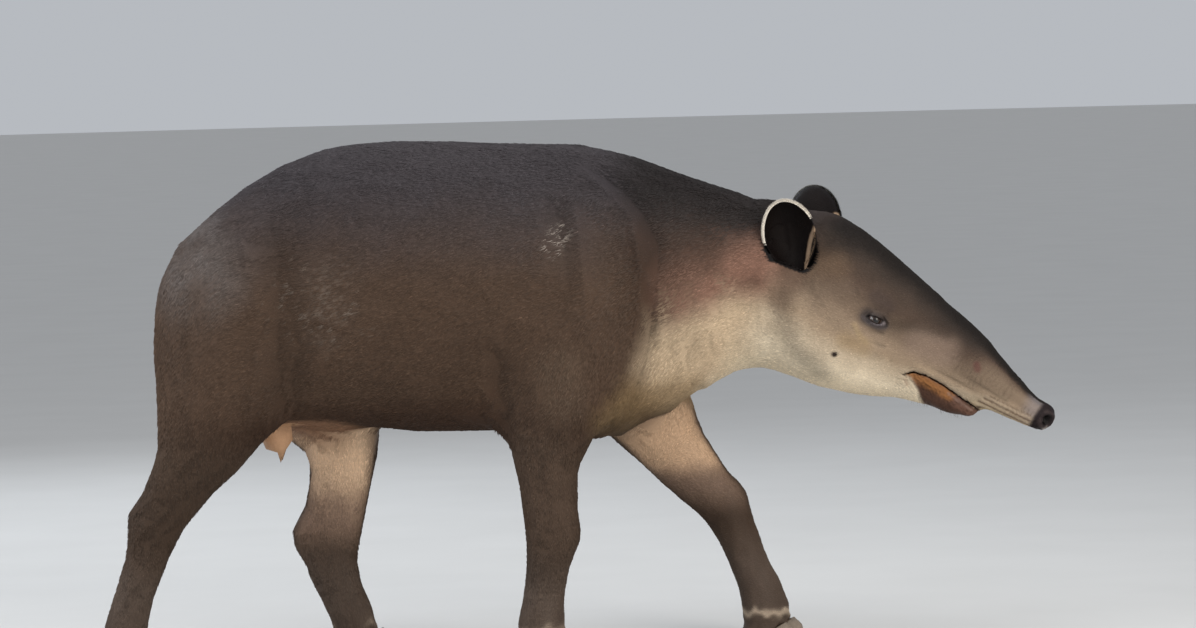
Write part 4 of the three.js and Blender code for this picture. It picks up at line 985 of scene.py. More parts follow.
def markings(points, normals):
    """The colour at each place, the animal's own with painted shade and highlights in it, and how bare the skin is
    there.
    """
    x, y, z = points.T
    side = points[:, [0, 2]]
    local = to_head(points)
    u, w, v = local.T
    flat = local[:, [0, 2]]
    outwards = normals @ HEAD_AXES
    paint = np.tile(FLANK, (len(points), 1))
    bare = np.zeros(len(points))
    patchy = noise(points, 0.09, 11) * 0.6 + noise(points, 0.03, 12) * 0.4

    # Trunk and neck.
    blend_in(paint, BACK, smooth_step(0.70, 0.95, z + 0.04 * patchy))
    # Painted shade on the underside of the trunk, where its skin faces down.
    blend_in(paint, SHADE_BROWN, smooth_step(0.54, 0.44, z) * smooth_step(0.1, -0.7, normals[:, 2]))
    blend_in(paint, NAPE, patch(side, ((0.18, 0.93), (0.40, 0.86)), 0.03, 0.09) * 0.85)
    # Painted shade in the crease along the front edge of the shoulder blade.
    shade = patch(side, ((0.15, 0.80), (0.165, 0.62)), 0.0, 0.05)
    blend_in(paint, SHADE_BROWN, shade * 0.5)
    ragged = 0.016 * patchy
    red = patch(side, ((0.235, 0.715), (0.42, 0.745)), 0.03, 0.075)
    blend_in(paint, RED_NECK, red * smooth_step(-1.1, 0.2, patchy) * 0.9)
    # Painted shade on the neck just before the shoulder.
    blend_in(paint, (0.045, 0.026, 0.018), patch(side, ((0.16, 0.79), (0.25, 0.785)), 0.01, 0.07) * 0.55)
    sheen = patch(side, ((-0.77, 0.84), (-0.72, 0.77)), 0.02, 0.12) * smooth_step(-1.3, 0.3, patchy)
    blend_in(paint, SHEEN, sheen * 0.75)
    # Painted sheen: a lighter patch on the upper foreleg.
    blend_in(paint, (0.12, 0.082, 0.056), patch(side, ((-0.03, 0.57), (-0.02, 0.50)), 0.01, 0.06) * 0.6)
    away = distance(side, ((0.21, 0.56), (0.33, 0.61), (0.50, 0.56))) + ragged
    blend_in(paint, CREAM, 1 - smooth_step(0.045, 0.115, away))
    chest = distance(side, ((0.085, 0.45), (0.13, 0.50), (0.22, 0.50))) + ragged
    blend_in(paint, CHEST, (1 - smooth_step(0.01, 0.07, chest)) * 0.7)

    # Head, from its top line to its bottom line.
    top, bottom = along_line(TOP_LINE, u), along_line(BOTTOM_LINE, u)
    down = np.clip((top - v) / (top - bottom) + 0.05 * patchy, 0, 1)
    down = np.where(outwards[:, 2] > 0.55, down * (1 - smooth_step(0.55, 0.9, outwards[:, 2])), down)
    down = np.clip(down * (1 + 1.4 * smooth_step(380, 470, u) * smooth_step(0.5, 0.05, down)), 0, 1)
    face = np.stack([np.interp(down, FACE_STOPS, channel) for channel in zip(*FACE_COLOURS)], axis=1)
    face *= 1 - 0.12 * (smooth_step(350, 430, u) * smooth_step(0.2, 0.45, down))[:, None]
    face *= 1 - np.outer(smooth_step(400, 470, u) * smooth_step(0.62, 0.85, down), (0.35, 0.42, 0.52))
    near_head = smooth_step(-35, 45, u + 22 * patchy)
    paint += (face - paint) * near_head[:, None]
    on_face = near_head * (np.abs(w) > 12)
    for colour, line, radius, soft, amount in (
        ((0.29, 0.21, 0.16), ((300, 30), (350, 40)), 12, 34, 0.55),
        ((0.060, 0.042, 0.036), ((186, 60), (208, 54)), 6, 22, 0.6),
        (EYE_RING, ((190, 20), (216, 22)), 8, 17, 0.85),
        ((0.42, 0.31, 0.18), ((178, -6), (200, -20), (214, -24)), 1, 8, 0.6),
        ((0.14, 0.09, 0.056), ((40, 40), (84, 66)), 6, 40, 0.7),
        ((0.15, 0.085, 0.06), ((5, 40), (30, 0), (25, -40)), 8, 34, 0.45),
        ((0.38, 0.27, 0.15), ((180, -42), (214, -36)), 4, 26, 0.5),
        ((0.13, 0.055, 0.045), ((416, 52), (422, 46)), 3, 7, 0.75),
        ((0.24, 0.21, 0.205), ((552, 50), (560, 12)), 4, 28, 0.6),
        ((0.60, 0.48, 0.33), ((452, -15), (520, -7), (566, 0)), 2.2, 3.5, 0.85),
        ((0.55, 0.43, 0.30), ((462, -2), (520, 4), (566, 9)), 2.2, 3.0, 0.8),
        ((0.48, 0.37, 0.26), ((470, 8), (520, 13), (560, 19)), 1.8, 3.0, 0.7),
        # Painted shade in the three grooves along the lower side of the proboscis.
        ((0.13, 0.075, 0.05), ((455, -8), (510, -2), (560, 4)), 0.6, 2.6, 0.8),
        ((0.13, 0.075, 0.05), ((462, 3), (515, 8), (562, 14)), 0.6, 2.6, 0.8),
        ((0.15, 0.095, 0.065), ((470, 13), (520, 18), (556, 24)), 0.5, 2.4, 0.6),
        # Painted shadow in the gap between the tip of the lower lip and the proboscis.
        ((0.03, 0.016, 0.010), ((462, -22), (470, -20)), 3, 5, 0.8),
        ((0.03, 0.02, 0.016), ((174, -78), (176, -76)), 3, 4, 1.0),
    ):
        blend_in(paint, colour, patch(flat, line, radius, soft) * amount * on_face)
    fold = bell(np.sin(w * 1.1 + 2 * patchy), 1, 0.5) * smooth_step(460, 500, u) * smooth_step(0.1, -0.5, outwards[:, 2])
    blend_in(paint, (0.34, 0.27, 0.19), fold * 0.5)

    # Lips, mouth and nose.
    under = along_line(MOUTH, u) - v
    on_lip = smooth_step(303, 314, u) * (1 - smooth_step(LIP_END + 2, LIP_END + 8, u)) * smooth_step(0.5, 2.5, under)
    lip = on_lip * smooth_step(-6, 5, u - 309 - 1.05 * np.clip(under, 0, None) + 4 * patchy) * (np.abs(w) < 70)
    blend_in(paint, LIP_BROWN, lip)
    tan = patch(flat, ((320, -38), (348, -33), (400, -29)), 6, 11) * smooth_step(-1.4, 0.1, patchy)
    blend_in(paint, LIP_TAN, lip * tan)
    lower = lip * smooth_step(12, 26, under + 5 * patchy - 0.03 * (u - 340))
    blend_in(paint, LIP_DARK, lower * 0.8)
    # Painted highlight along the top of the lower lip.
    blend_in(paint, (0.30, 0.20, 0.16), patch(flat, ((398, -27), (425, -29), (452, -32)), 0.5, 3) * lip * 0.6)
    blend_in(paint, (0.50, 0.36, 0.26), patch(flat, ((314, -46), (322, -56)), 1, 4) * on_lip * 0.6)
    # Painted shade in the lip's folds: dark lines along it.
    lip_fold_shade = bell(np.sin(1.05 * (v - 0.1 * u) + 2.5 * patchy), 1, 0.35) * smooth_step(8, 14, under)
    blend_in(paint, LIP_DARK, lip * lip_fold_shade * 0.55)
    bare = np.maximum(bare, lip * 0.75)
    # Painted shade in the gap between the lips.
    in_mouth = (np.abs(under) < 1.6) & (u > 303) & (u < LIP_END)
    blend_in(paint, MOUTH_SHADE, in_mouth * 0.85)
    # Painted shade in a strip just above the mouth line.
    mouth_line_shade = bell(under, -3.5, 2.0) * smooth_step(306, 318, u) * (1 - smooth_step(455, 475, u))
    blend_in(paint, (0.09, 0.05, 0.04), mouth_line_shade * 0.5)
    nose = smooth_step(NOSE_START - 15, NOSE_START - 6, u + 2 * patchy)
    blend_in(paint, NOSE_SKIN, nose)
    hole = np.hypot(np.abs(w) - NOSTRIL[0], (v - NOSTRIL[1]) * 0.8)
    # Painted shade deep inside the nostrils.
    blend_in(paint, (0.004, 0.003, 0.003), (1 - smooth_step(6.5, 10.5, hole)) * (u > NOSE_START - 6))
    blend_in(paint, (0.075, 0.055, 0.052), bell(hole, 13.0, 1.8) * (u > NOSE_START) * 0.5)
    spot = patch(local, ((594, -10, 13), (594, -3, 10)), 4, 5)
    blend_in(paint, (0.42, 0.36, 0.33), spot * 0.8)

    # Lids: dark edges, a painted highlight along the wet lower lid margin, and the small pale lump in the front corner.
    for sign in (-1, 1):
        gaze, along, up, beyond, near = round_eye(local, sign)
        below = near * smooth_step(1, -2, up)
        blend_in(paint, LID_BLUE, below * bell(beyond, 6, 4.5) * 0.65)
        blend_in(paint, (0.016, 0.013, 0.013), near * (1 - smooth_step(0.8, 2.6, beyond)) * 0.95)
        blend_in(paint, LID_HIGHLIGHT, below * bell(beyond, 2.0, 1.1) * smooth_step(-16, 12, along) * 0.8)
        blend_in(paint, (0.50, 0.43, 0.44), near * bell(np.hypot(along - 16.8, up + 0.6), 0, 2.6))

    # Ears: dark in and out, with a white edge round the top and a tan tragus.
    for name in SIDES:
        along, mouth, ahead, bowl = in_bowl(points, name)
        ear = (bowl < 1.12) & (mouth > -EAR_DEEP) & (mouth < 14)
        blend_in(paint, EAR_BACK, ear * smooth_step(0.70, 0.85, bowl))
        blend_in(paint, EAR_INSIDE, ear * (bowl < 0.975))
        tragus = patch(np.stack([along, ahead], axis=1), TRAGUS, 2.5, 3.5) * (mouth < 6) * (mouth > -EAR_DEEP * 0.9)
        blend_in(paint, TRAGUS_TAN, ear * (bowl < 0.99) * tragus * 0.8)
        angle = np.arctan2(ahead / EAR_WIDE, along / EAR_LONG)
        edge = smooth_step(-2.2, -0.8, mouth - rim_height(angle) + 2.5 * (bowl > 0.985))
        on_rim = np.hypot(along / EAR_LONG, ahead / EAR_WIDE) > 0.8
        blend_in(paint, WHITE_HAIR, ear * edge * on_rim * white_edge(angle, name))

    # Legs.
    inner = smooth_step(0.15, 0.75, -normals[:, 1] * np.sign(y)) * smooth_step(0.02, 0.045, np.abs(y))
    blend_in(paint, LEG, smooth_step(0.50, 0.38, z) * (x < 0.55))
    blend_in(paint, FOOT, smooth_step(0.25, 0.13, z) * (x < 0.55) * (0.72 + 0.3 * patchy))
    hind, fore = x < -0.35, (x > -0.2) & (x < 0.5)
    blend_in(paint, INNER_SHANK, inner * hind * smooth_step(0.19, 0.27, z) * smooth_step(0.52, 0.46, z))
    # Cream inner thigh, partly its own colour and partly painted sunlight.
    blend_in(paint, INNER_THIGH, inner * hind * smooth_step(0.28, 0.38, z + 0.02 * patchy) * smooth_step(0.56, 0.48, z))
    blend_in(paint, INNER_SHANK, inner * fore * smooth_step(0.24, 0.32, z) * smooth_step(0.5, 0.44, z) * 0.8)
    blend_in(paint, INNER_LEG, inner * fore * smooth_step(0.31, 0.38, z + 0.02 * patchy) * smooth_step(0.52, 0.46, z))
    groin = patch(points, ((-0.60, 0, 0.46), (-0.50, 0, 0.46)), 0.05, 0.06)
    blend_in(paint, (0.24, 0.13, 0.075), groin * smooth_step(0.2, -0.5, normals[:, 2]))
    udder = patch(points, ((-0.58, -0.014, 0.42), (-0.588, -0.014, 0.45)), 0.045, 0.02)
    blend_in(paint, BARE_TAN, udder)
    bare = np.maximum(bare, udder)
    brown = patch(points, ((-0.05, -0.16, 0.24), (-0.06, -0.16, 0.40)), 0.02, 0.05)
    blend_in(paint, (0.11, 0.072, 0.05), brown * 0.5)
    landing = (x > 0.2) * (y > 0)
    jagged = 0.011 * patchy + 0.006 * noise(points, 0.012, 33)
    band = bell(z, 0.052 + jagged, 0.0065) * smooth_step(-0.5, 0.4, patchy + 0.6 * landing)
    blend_in(paint, HOOF_BAND, band * (0.35 + 0.5 * landing) * (x < 0.55))

    # The healed scar on the right shoulder, and scuffs on the flank.
    scratch = smooth_step(-0.15, 0.25, noise(points * (1, 1, 1.8), 0.009, 31))
    scar = patch(points, ((-0.012, -0.183, 0.835), (-0.030, -0.186, 0.800)), 0.008, 0.02)
    blend_in(paint, SCAR, scar * scratch)
    scuffs = patch(points, ((-0.53, -0.2, 0.72), (-0.45, -0.21, 0.68)), 0.03, 0.08)
    blend_in(paint, (0.16, 0.125, 0.1), scuffs * smooth_step(0.35, 0.7, noise(points, 0.008, 32)) * 0.7)
    paint *= (1 + 0.14 * patchy)[:, None]
    return np.clip(paint, 0.003, 1), bare


# eyes and hooves


def build_eyes(settings):
    material = eye_material()
    for side, sign in SIDES.items():
        centre, axes = eye_axes(sign)
        bm = bmesh.new()
        bmesh.ops.create_uvsphere(bm, u_segments=64, v_segments=48, radius=EYE_RADIUS)
        mesh = mesh_of(bm, "eyeball_" + side)
        ball = points_of(mesh)
        turned = np.degrees(np.arccos(np.clip(ball[:, 2] / EYE_RADIUS, -1, 1)))
        cornea = 1.5 * np.clip(1 - (turned / 42) ** 2, 0, 1) ** 2
        ball = ball * (1 + cornea / EYE_RADIUS)[:, None]
        across, up = ball[:, 0], ball[:, 1]
        colours = np.tile(settings.white, (len(ball), 1))
        blend_in(colours, settings.iris, 1 - smooth_step(38, 46, turned))
        pupil = np.hypot(across / 5.4, up / 3.6)
        blend_in(colours, (0.003, 0.003, 0.004), 1 - smooth_step(0.85, 1.1, pupil))
        put_points(mesh, from_head(ball[:, [2, 0, 1]] @ axes.T + centre))
        put_colours(mesh, colours)
        mesh.shade_smooth()
        mesh.materials.append(material)
        piece = object_of(mesh.name, mesh)
        if np.linalg.det(axes) < 0:
            mesh.flip_normals()
        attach(piece, "root")
        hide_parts("eye_" + side)


def build_hooves(settings):
    material = hoof_material()
    for foot in FEET:
        end, side = foot.split("_")
        names = [name for name in HOOVES if name.startswith(f"{end}_hoof_{side}")]
        piece = joined("hooves_" + foot, [cad_solid(name) for name in names])
        modified(piece, "REMESH", mode="VOXEL", voxel_size=1.7 * MM, adaptivity=0)
        flat = points_of(piece.data)[:, 2] < 1.2 * MM
        relaxed(piece, np.where(flat, 0, 1), 7)
        points, normals = points_of(piece.data), normals_of(piece.data)
        z = points[:, 2]
        rings = np.sin(z / MM * 1.05 + 1.2 * noise(points, 0.02, 3))
        rise = 0.22 * MM * rings * smooth_step(0.003, 0.012, z) * smooth_step(0.7, 0.2, np.abs(normals[:, 2]))
        rise += 0.35 * MM * noise(points * (1, 1, 0.25), 0.004, 4) * smooth_step(0.002, 0.01, z)
        put_points(piece.data, points + normals * rise[:, None])
        colours = np.tile(settings.horn, (len(points), 1))
        blend_in(colours, (0.05, 0.038, 0.032), smooth_step(0.026, 0.04, z))
        blend_in(colours, (0.24, 0.19, 0.14), smooth_step(0.010, 0.002, z) * 0.6)
        put_colours(piece.data, colours * (1 + 0.25 * noise(points, 0.012, 8))[:, None])
        piece.data.shade_smooth()
        piece.data.materials.clear()
        piece.data.materials.append(material)
        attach(piece, "root")
        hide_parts(*names)


# coat

COAT_REGIONS = (
    ("trunk", "coat_body"),
    ("neck", "coat_body"),
    ("head", "coat_face"),
    ("ears", "coat_ear"),
    ("legs", "coat_leg"),
)


def lie_of_hair(points, normals):
    """The way the hair lies at each place, along the skin."""
    x, y, z = points.T
    local = to_head(points)
    flow = np.tile((-1.0, 0.0, -0.42), (len(points), 1))
    rump = smooth_step(-0.62, -0.82, x)[:, None]
    flow = flow * (1 - rump) + np.array((-0.35, 0, -1)) * rump
    shoulder = (bell(x, 0.02, 0.16) * smooth_step(0.75, 0.55, z))[:, None]
    flow = flow * (1 - shoulder) + np.array((-0.45, 0, -1)) * shoulder
    leg = smooth_step(0.50, 0.40, z)[:, None]
    flow = flow * (1 - leg) + np.array((-0.12, 0, -1)) * leg
    head = smooth_step(-60, 40, local[:, 0])[:, None]
    cheek = np.stack([-np.ones(len(points)), 0 * x, -0.35 + 0 * x], axis=1)
    flow = flow * (1 - head) + (cheek @ HEAD_AXES.T) * head
    for side in SIDES:
        axes = ear_axes(side)[1]
        along, mouth, ahead, bowl = in_bowl(points, side)
        ear = (smooth_step(1.15, 1.05, bowl) * smooth_step(-30, -18, mouth))[:, None]
        outward = np.stack([along + 30, 12 + 0 * along, ahead], axis=1) @ axes.T
        flow = flow * (1 - ear) + unit(outward) * ear
    swirl = noise(points, 0.05, 41)[:, None] * 0.25
    flow = unit(flow) + swirl * np.cross(normals, unit(flow))
    flow -= np.sum(flow * normals, axis=1, keepdims=True) * normals
    return unit(flow)


def coat_sizes(points):
    """At each place, a tuft's length and width and the distance between tufts, in millimetres."""
    x, y, z = points.T
    u, w, v = to_head(points).T
    length = np.full(len(points), 13.0)
    width = np.full(len(points), 2.1)
    apart = np.full(len(points), 3.9)

    def towards(mask, long, wide, between):
        nonlocal length, width, apart
        length = length + (long - length) * mask
        width = width + (wide - width) * mask
        apart = apart + (between - apart) * mask

    towards(smooth_step(0.46, 0.34, z), 9, 1.7, 3.4)
    towards(smooth_step(0.16, 0.08, z), 5.5, 1.1, 2.4)
    towards(bell(z, 0.052, 0.012) * (x < 0.55), 9, 1.0, 2.2)
    towards(smooth_step(-120, 10, u), 8, 1.3, 2.5)
    towards(smooth_step(60, 240, u), 4.8, 0.95, 2.0)
    towards(smooth_step(330, 480, u), 2.6, 0.75, 1.8)
    towards(patch(np.stack([u, v], axis=1), ((175, -77),), 3, 5) * (u > 0), 1.6, 0.7, 1.7)
    near_eye = np.linalg.norm(np.stack([u, np.abs(w), v], axis=1) - EYE_CENTRE, axis=1)
    towards(smooth_step(38, 24, near_eye), 2.6, 0.6, 1.7)
    for side in SIDES:
        along, mouth, ahead, bowl = in_bowl(points, side)
        towards(smooth_step(1.14, 1.06, bowl) * (mouth > -EAR_DEEP - 8), 3.0, 0.55, 1.5)
    return length, width, apart


class Ground:
    """The skin as a ground that hairs are rooted on: places, normals, unwrap, bareness and crease depth."""

    def __init__(self, skin):
        mesh = skin.data
        mesh.calc_loop_triangles()
        count = len(mesh.loop_triangles)
        self.corners = np.empty(count * 3, np.int32)
        mesh.loop_triangles.foreach_get("vertices", self.corners)
        self.corners = self.corners.reshape(-1, 3)
        self.loops = np.empty(count * 3, np.int32)
        mesh.loop_triangles.foreach_get("loops", self.loops)
        self.loops = self.loops.reshape(-1, 3)
        self.area = np.empty(count, np.float32)
        mesh.loop_triangles.foreach_get("area", self.area)
        self.points, self.normals = points_of(mesh), normals_of(mesh)
        self.unwrap = np.empty(len(mesh.loops) * 2, np.float32)
        mesh.uv_layers["Skin"].data.foreach_get("uv", self.unwrap)
        self.unwrap = self.unwrap.reshape(-1, 2)
        self.bare = get_number(mesh, "Bare")
        self.crease = get_number(mesh, "Crease")

    def roots(self, density, random):
        """Places spread over the triangles, density to the square metre at each triangle."""
        wanted = np.cumsum(self.area * density)
        picks = np.arange(int(wanted[-1])) + random.random(int(wanted[-1]))
        face = np.minimum(np.searchsorted(wanted, picks), len(self.area) - 1)
        a, b = random.random((2, len(face)))
        over = a + b > 1
        a, b = np.where(over, 1 - a, a), np.where(over, 1 - b, b)
        share = np.stack([1 - a - b, a, b], axis=1)[:, :, None]
        corners = self.corners[face]
        return {
            "at": (self.points[corners] * share).sum(1),
            "normal": unit((self.normals[corners] * share).sum(1)),
            "uv": (self.unwrap[self.loops[face]] * share).sum(1),
            "bare": (self.bare[corners] * share[:, :, 0]).sum(1),
            "crease": (self.crease[corners] * share[:, :, 0]).sum(1),
        }


    def nearest(self, places):
        """The roots on the skin that are nearest to the places."""
        tree = BVHTree.FromPolygons(self.points.tolist(), self.corners.tolist())
        roots = {"at": [], "normal": [], "uv": []}
        for place in places:
            at, _, face, _ = tree.find_nearest(Vector(place))
            corners = [Vector(self.points[i]) for i in self.corners[face]]
            unwrapped = [Vector((*self.unwrap[i], 0)) for i in self.loops[face]]
            normal = unit(self.normals[self.corners[face]].mean(0))
            roots["at"].append(tuple(at))
            roots["normal"].append(tuple(normal))
            roots["uv"].append(tuple(barycentric_transform(at, *corners, *unwrapped))[:2])
        return {key: np.array(value) for key, value in roots.items()}


def tufts(name, roots, flow, length, width, lift, colours, material, slot, replaced=()):
    """One coat piece: a thin closed spike of four faces at each root, lying along flow."""
    count = len(length)
    at, normal = roots["at"], roots["normal"]
    side = unit(np.cross(normal, flow))
    long, wide = length[:, None] * MM, width[:, None] * MM
    foot = at - normal * 0.25 * wide
    crest = at + flow * long * 0.4 + normal * (wide * 0.34 + long * lift[:, None] * 0.5)
    tip = at + flow * long + normal * long * lift[:, None]
    points = np.stack([foot + side * wide / 2, foot - side * wide / 2, crest, tip], axis=1).reshape(-1, 3)
    points = np.clip(points, np.array(CAD_BOX[0]) + BOX_MARGIN, np.array(CAD_BOX[1]) - BOX_MARGIN)
    faces = np.array(((0, 2, 3), (2, 1, 3), (0, 1, 2), (0, 3, 1)))
    index = (faces[None] + np.arange(count)[:, None, None] * 4).reshape(-1)
    mesh = bpy.data.meshes.new(name)
    mesh.vertices.add(count * 4)
    mesh.vertices.foreach_set("co", points.astype(np.float32).ravel())
    mesh.loops.add(count * 12)
    mesh.loops.foreach_set("vertex_index", index.astype(np.int32))
    mesh.polygons.add(count * 4)
    mesh.polygons.foreach_set("loop_start", np.arange(0, count * 12, 3, dtype=np.int32))
    mesh.polygons.foreach_set("use_smooth", np.ones(count * 4, bool))
    spots = np.array(((-0.0015, -0.0015), (0.0015, -0.0015), (0, 0.0002), (0, 0.0015)))[faces.ravel()]
    unwrap = roots["uv"][:, None] + spots[None]
    layer = mesh.uv_layers.new(name="OFBake")
    layer.data.foreach_set("uv", unwrap.astype(np.float32).ravel())
    put_colours(mesh, np.repeat(colours, 4, axis=0))
    mesh.update()
    mesh.validate()
    lean = np.stack([normal + side * 0.7, normal - side * 0.7, normal, normal + flow * 0.2], axis=1)
    mesh.normals_split_custom_set_from_vertices(unit(lean.reshape(-1, 3)).astype(np.float32))
    mesh.materials.append(material)
    piece = object_of(name, mesh)
    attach(piece, "root")
    return piece


def unwrap_skin(skin):
    bpy.context.view_layer.objects.active = skin
    skin.select_set(True)
    skin.data.uv_layers.new(name="Skin")
    bpy.ops.object.mode_set(mode="EDIT")
    bpy.ops.mesh.select_all(action="SELECT")
    bpy.ops.uv.smart_project(angle_limit=math.radians(66), island_margin=0.001)
    bpy.ops.object.mode_set(mode="OBJECT")


def build_coat(settings):
    """The short coat all over, in pieces by region."""
    skin = bpy.data.objects["skin"]
    unwrap_skin(skin)
    ground = Ground(skin)
    random = np.random.default_rng(11)
    middles = ground.points[ground.corners].mean(1)
    length, width, apart = coat_sizes(middles)
    bare = ground.bare[ground.corners].mean(1)
    facing = ground.normals[ground.corners].mean(1)
    u, w, v = to_head(middles).T
    inside = (np.abs(v - along_line(MOUTH, u)) < 2.0) & (u > 303) & (u < 500)
    sole = middles[:, 2] < 0.004
    density = 1 / (apart * MM) ** 2 * (1 - smooth_step(0.25, 0.7, bare)) * ~inside * ~sole
    for side in SIDES:
        along, mouth, ahead, bowl = in_bowl(middles, side)
        deep = (bowl < 0.975) & (mouth > -EAR_DEEP) & (mouth < 12)
        density *= np.where(deep, 0.15, 1)
    total = (density * ground.area).sum()
    limit = settings.tufts * 1
    density *= limit / total
    roots = ground.roots(density, random)
    order = np.argsort(coat_region(roots["at"]), kind="stable")
    roots = {key: value[order] for key, value in roots.items()}
    at, normal = roots["at"], roots["normal"]
    length, width, apart = coat_sizes(at)
    count = len(at)
    flow = lie_of_hair(at, normal)
    turn = random.normal(0, 0.16, count)[:, None]
    flow = unit(flow * np.cos(turn) + np.cross(normal, flow) * np.sin(turn))
    length *= random.uniform(0.7, 1.25, count) * settings.length
    width *= random.uniform(0.8, 1.2, count)
    lift = np.clip(random.normal(0.10, 0.035, count), 0.03, 0.3)
    colours = markings(at, normal)[0]
    # Painted shade: tufts darker in creases.
    colours *= (1 - 0.35 * roots["crease"])[:, None]
    colours *= random.normal(1, 0.13, count).clip(0.6, 1.5)[:, None]
    pale = random.random(count) < 0.02
    colours[pale] *= 1.35
    material = coat_material()
    region = coat_region(at)
    for k, (name, slot) in enumerate(COAT_REGIONS):
        chosen = np.flatnonzero(region == k)
        pieces = max(1, math.ceil(len(chosen) / settings.tufts_a_piece))
        for number, some in enumerate(np.array_split(chosen, pieces), 1):
            if len(some):
                part = {key: value[some] for key, value in roots.items()}
                tufts(f"coat_{name}_{number}", part, flow[some], length[some], width[some], lift[some], colours[some], material, slot)


def coat_region(points):
    x, y, z = points.T
    u, w, v = to_head(points).T
    region = np.where(z < 0.42, 4, np.where(x > 0.2, 1, 0))
    region = np.where(u > -20, 2, region)
    for side in SIDES:
        along, mouth, ahead, bowl = in_bowl(points, side)
        region = np.where((bowl < 1.06) & (mouth > -EAR_DEEP), 3, region)
    return region


def hair_group(at, way, facing, long, wide, colour):
    """Like hairs: their places, the way they grow, the way their flat side faces, and their sizes."""
    at = np.asarray(at, float)
    return {
        "at": at,
        "way": np.broadcast_to(way, at.shape),
        "facing": np.broadcast_to(facing, at.shape),
        "long": np.full(len(at), float(long)),
        "wide": np.full(len(at), float(wide)),
        "colour": np.broadcast_to(colour, at.shape),
    }


def fringe(ground, random, name, groups, material, slot, length):
    """One coat piece of single hairs, each rooted where the skin is nearest to its place."""
    hairs = {key: np.concatenate([group[key] for group in groups]) for key in groups[0]}
    roots = ground.nearest(hairs["at"])
    count = len(hairs["at"])
    way = unit(unit(hairs["way"]) + random.normal(0, 0.13, (count, 3)))
    facing = unit(hairs["facing"])
    roots["normal"] = unit(facing - np.sum(facing * way, axis=1, keepdims=True) * way)
    roots["at"] = roots["at"] - way * 0.8 * MM
    colours = hairs["colour"] * random.normal(1, 0.12, count).clip(0.6, 1.4)[:, None]
    long = hairs["long"] * random.uniform(0.7, 1.2, count) * length
    tufts(name, roots, way, long, hairs["wide"], np.full(count, 0.06), colours, material, slot)


def ear_hairs(random):
    """The white fringe round each ear's top edge, and the pale hairs of its notch and tragus."""
    groups = []
    for side in SIDES:
        centre, axes = ear_axes(side)
        tip, mouth, ahead = axes.T
        angle = random.uniform(-1.9, 1.9, 5200)
        angle = angle[random.random(len(angle)) < white_edge(angle, side)]
        at, out, along = rim_places(side, angle)
        way = out + mouth * random.uniform(-0.45, 0.3, len(angle))[:, None] + along * 0.15
        groups.append(hair_group(at, way, mouth, 6.5, 0.8, WHITE_HAIR))
        angle = random.uniform(math.pi - 0.1, math.pi + 0.45, 150)
        at, out, along = rim_places(side, angle)
        groups.append(hair_group(at, tip * 0.9 + mouth * 0.5 + ahead * 0.25, mouth - tip * 0.5, 11, 0.9, WHITE_HAIR))
        place = random.random(420)
        step = np.linspace(0, 1, len(TRAGUS))
        up, fore = (np.interp(place, step, values) for values in zip(*TRAGUS))
        local = np.stack([up, np.full(len(up), -6.0), fore + random.normal(0, 2.5, len(up))], axis=1)
        way = mouth * 0.45 - ahead * 0.35 + tip * 0.8
        groups.append(hair_group(local @ axes.T * MM + centre, way, mouth, 5.5, 0.7, TRAGUS_TAN))
    return groups


def lash_hairs(random):
    """Short dark lashes along each upper lid, and a few below."""
    groups = []
    for sign in SIDES.values():
        centre, axes = eye_axes(sign)
        gaze, level, upright = (HEAD_AXES @ axes).T
        for edge, droop, count, long in ((UPPER_LID, 0.25, 75, 6.0), (-LOWER_LID, 0.5, 30, 2.6)):
            along = random.uniform(-14, 13, count)
            up = edge * np.sqrt(1 - (along / EYE_OPENING) ** 2) ** 1.3 + np.sign(edge) * 0.9
            local = np.stack([np.full(count, EYE_RADIUS), along, up], axis=1) @ axes.T + centre
            way = gaze - upright * droop + level * 0.25
            groups.append(hair_group(from_head(local), way, upright, long, 0.35, BRISTLE))
    return groups


# Fields of bristles on the head: low and high corner on its axes, the way they grow, how many, long, wide, colour.
BRISTLES = (
    ((455, 18, -8), (560, 34, 12), (0.5, 0.7, -0.8), 34, 15, 0.3, (0.20, 0.16, 0.13)),
    ((330, 10, -85), (448, 34, -60), (0.7, 0.3, -0.8), 34, 11, 0.3, (0.15, 0.11, 0.08)),
    ((350, 40, -14), (460, 52, 8), (0.4, 0.9, -0.5), 26, 13, 0.35, (0.22, 0.18, 0.14)),
    ((168, 86, -84), (182, 94, -70), (0.3, 0.9, -0.4), 5, 8, 0.3, BRISTLE),
)
NAPE_CREST = ((0.02, 0.995), (0.065, 0.99), (0.144, 0.965), (0.233, 0.929), (0.312, 0.902), (0.386, 0.872))


def bristle_hairs(random):
    groups = []
    for low, high, grows, count, long, wide, colour in BRISTLES:
        for sign in SIDES.values():
            mirror = np.array((1, sign, 1))
            at = from_head(random.uniform(low, high, (count, 3)) * mirror)
            way = np.array(grows) * mirror @ HEAD_AXES.T
            groups.append(hair_group(at, way, HEAD_AXES[:, 2], long, wide, colour))
    return groups


def crest_hairs(random):
    """The sparse, short mane along the nape, and the hairs at the tail's end."""
    x = random.uniform(NAPE_CREST[0][0], NAPE_CREST[-1][0], 1500)
    y = random.normal(0, 0.009, len(x)) - 0.012 * smooth_step(0.1, 0.4, x)
    mane = np.stack([x, y, along_line(NAPE_CREST, x)], axis=1)
    tail = random.normal((-0.80, 0, 0.665), (0.004, 0.008, 0.008), (160, 3))
    return [
        hair_group(mane, (-1.0, 0.0, 0.05), (0.0, 0.0, 1.0), 15, 1.3, NAPE),
        hair_group(tail, (-0.25, 0.0, -1.0), (-1.0, 0.0, 0.0), 20, 1.1, (0.03, 0.022, 0.018)),
    ]


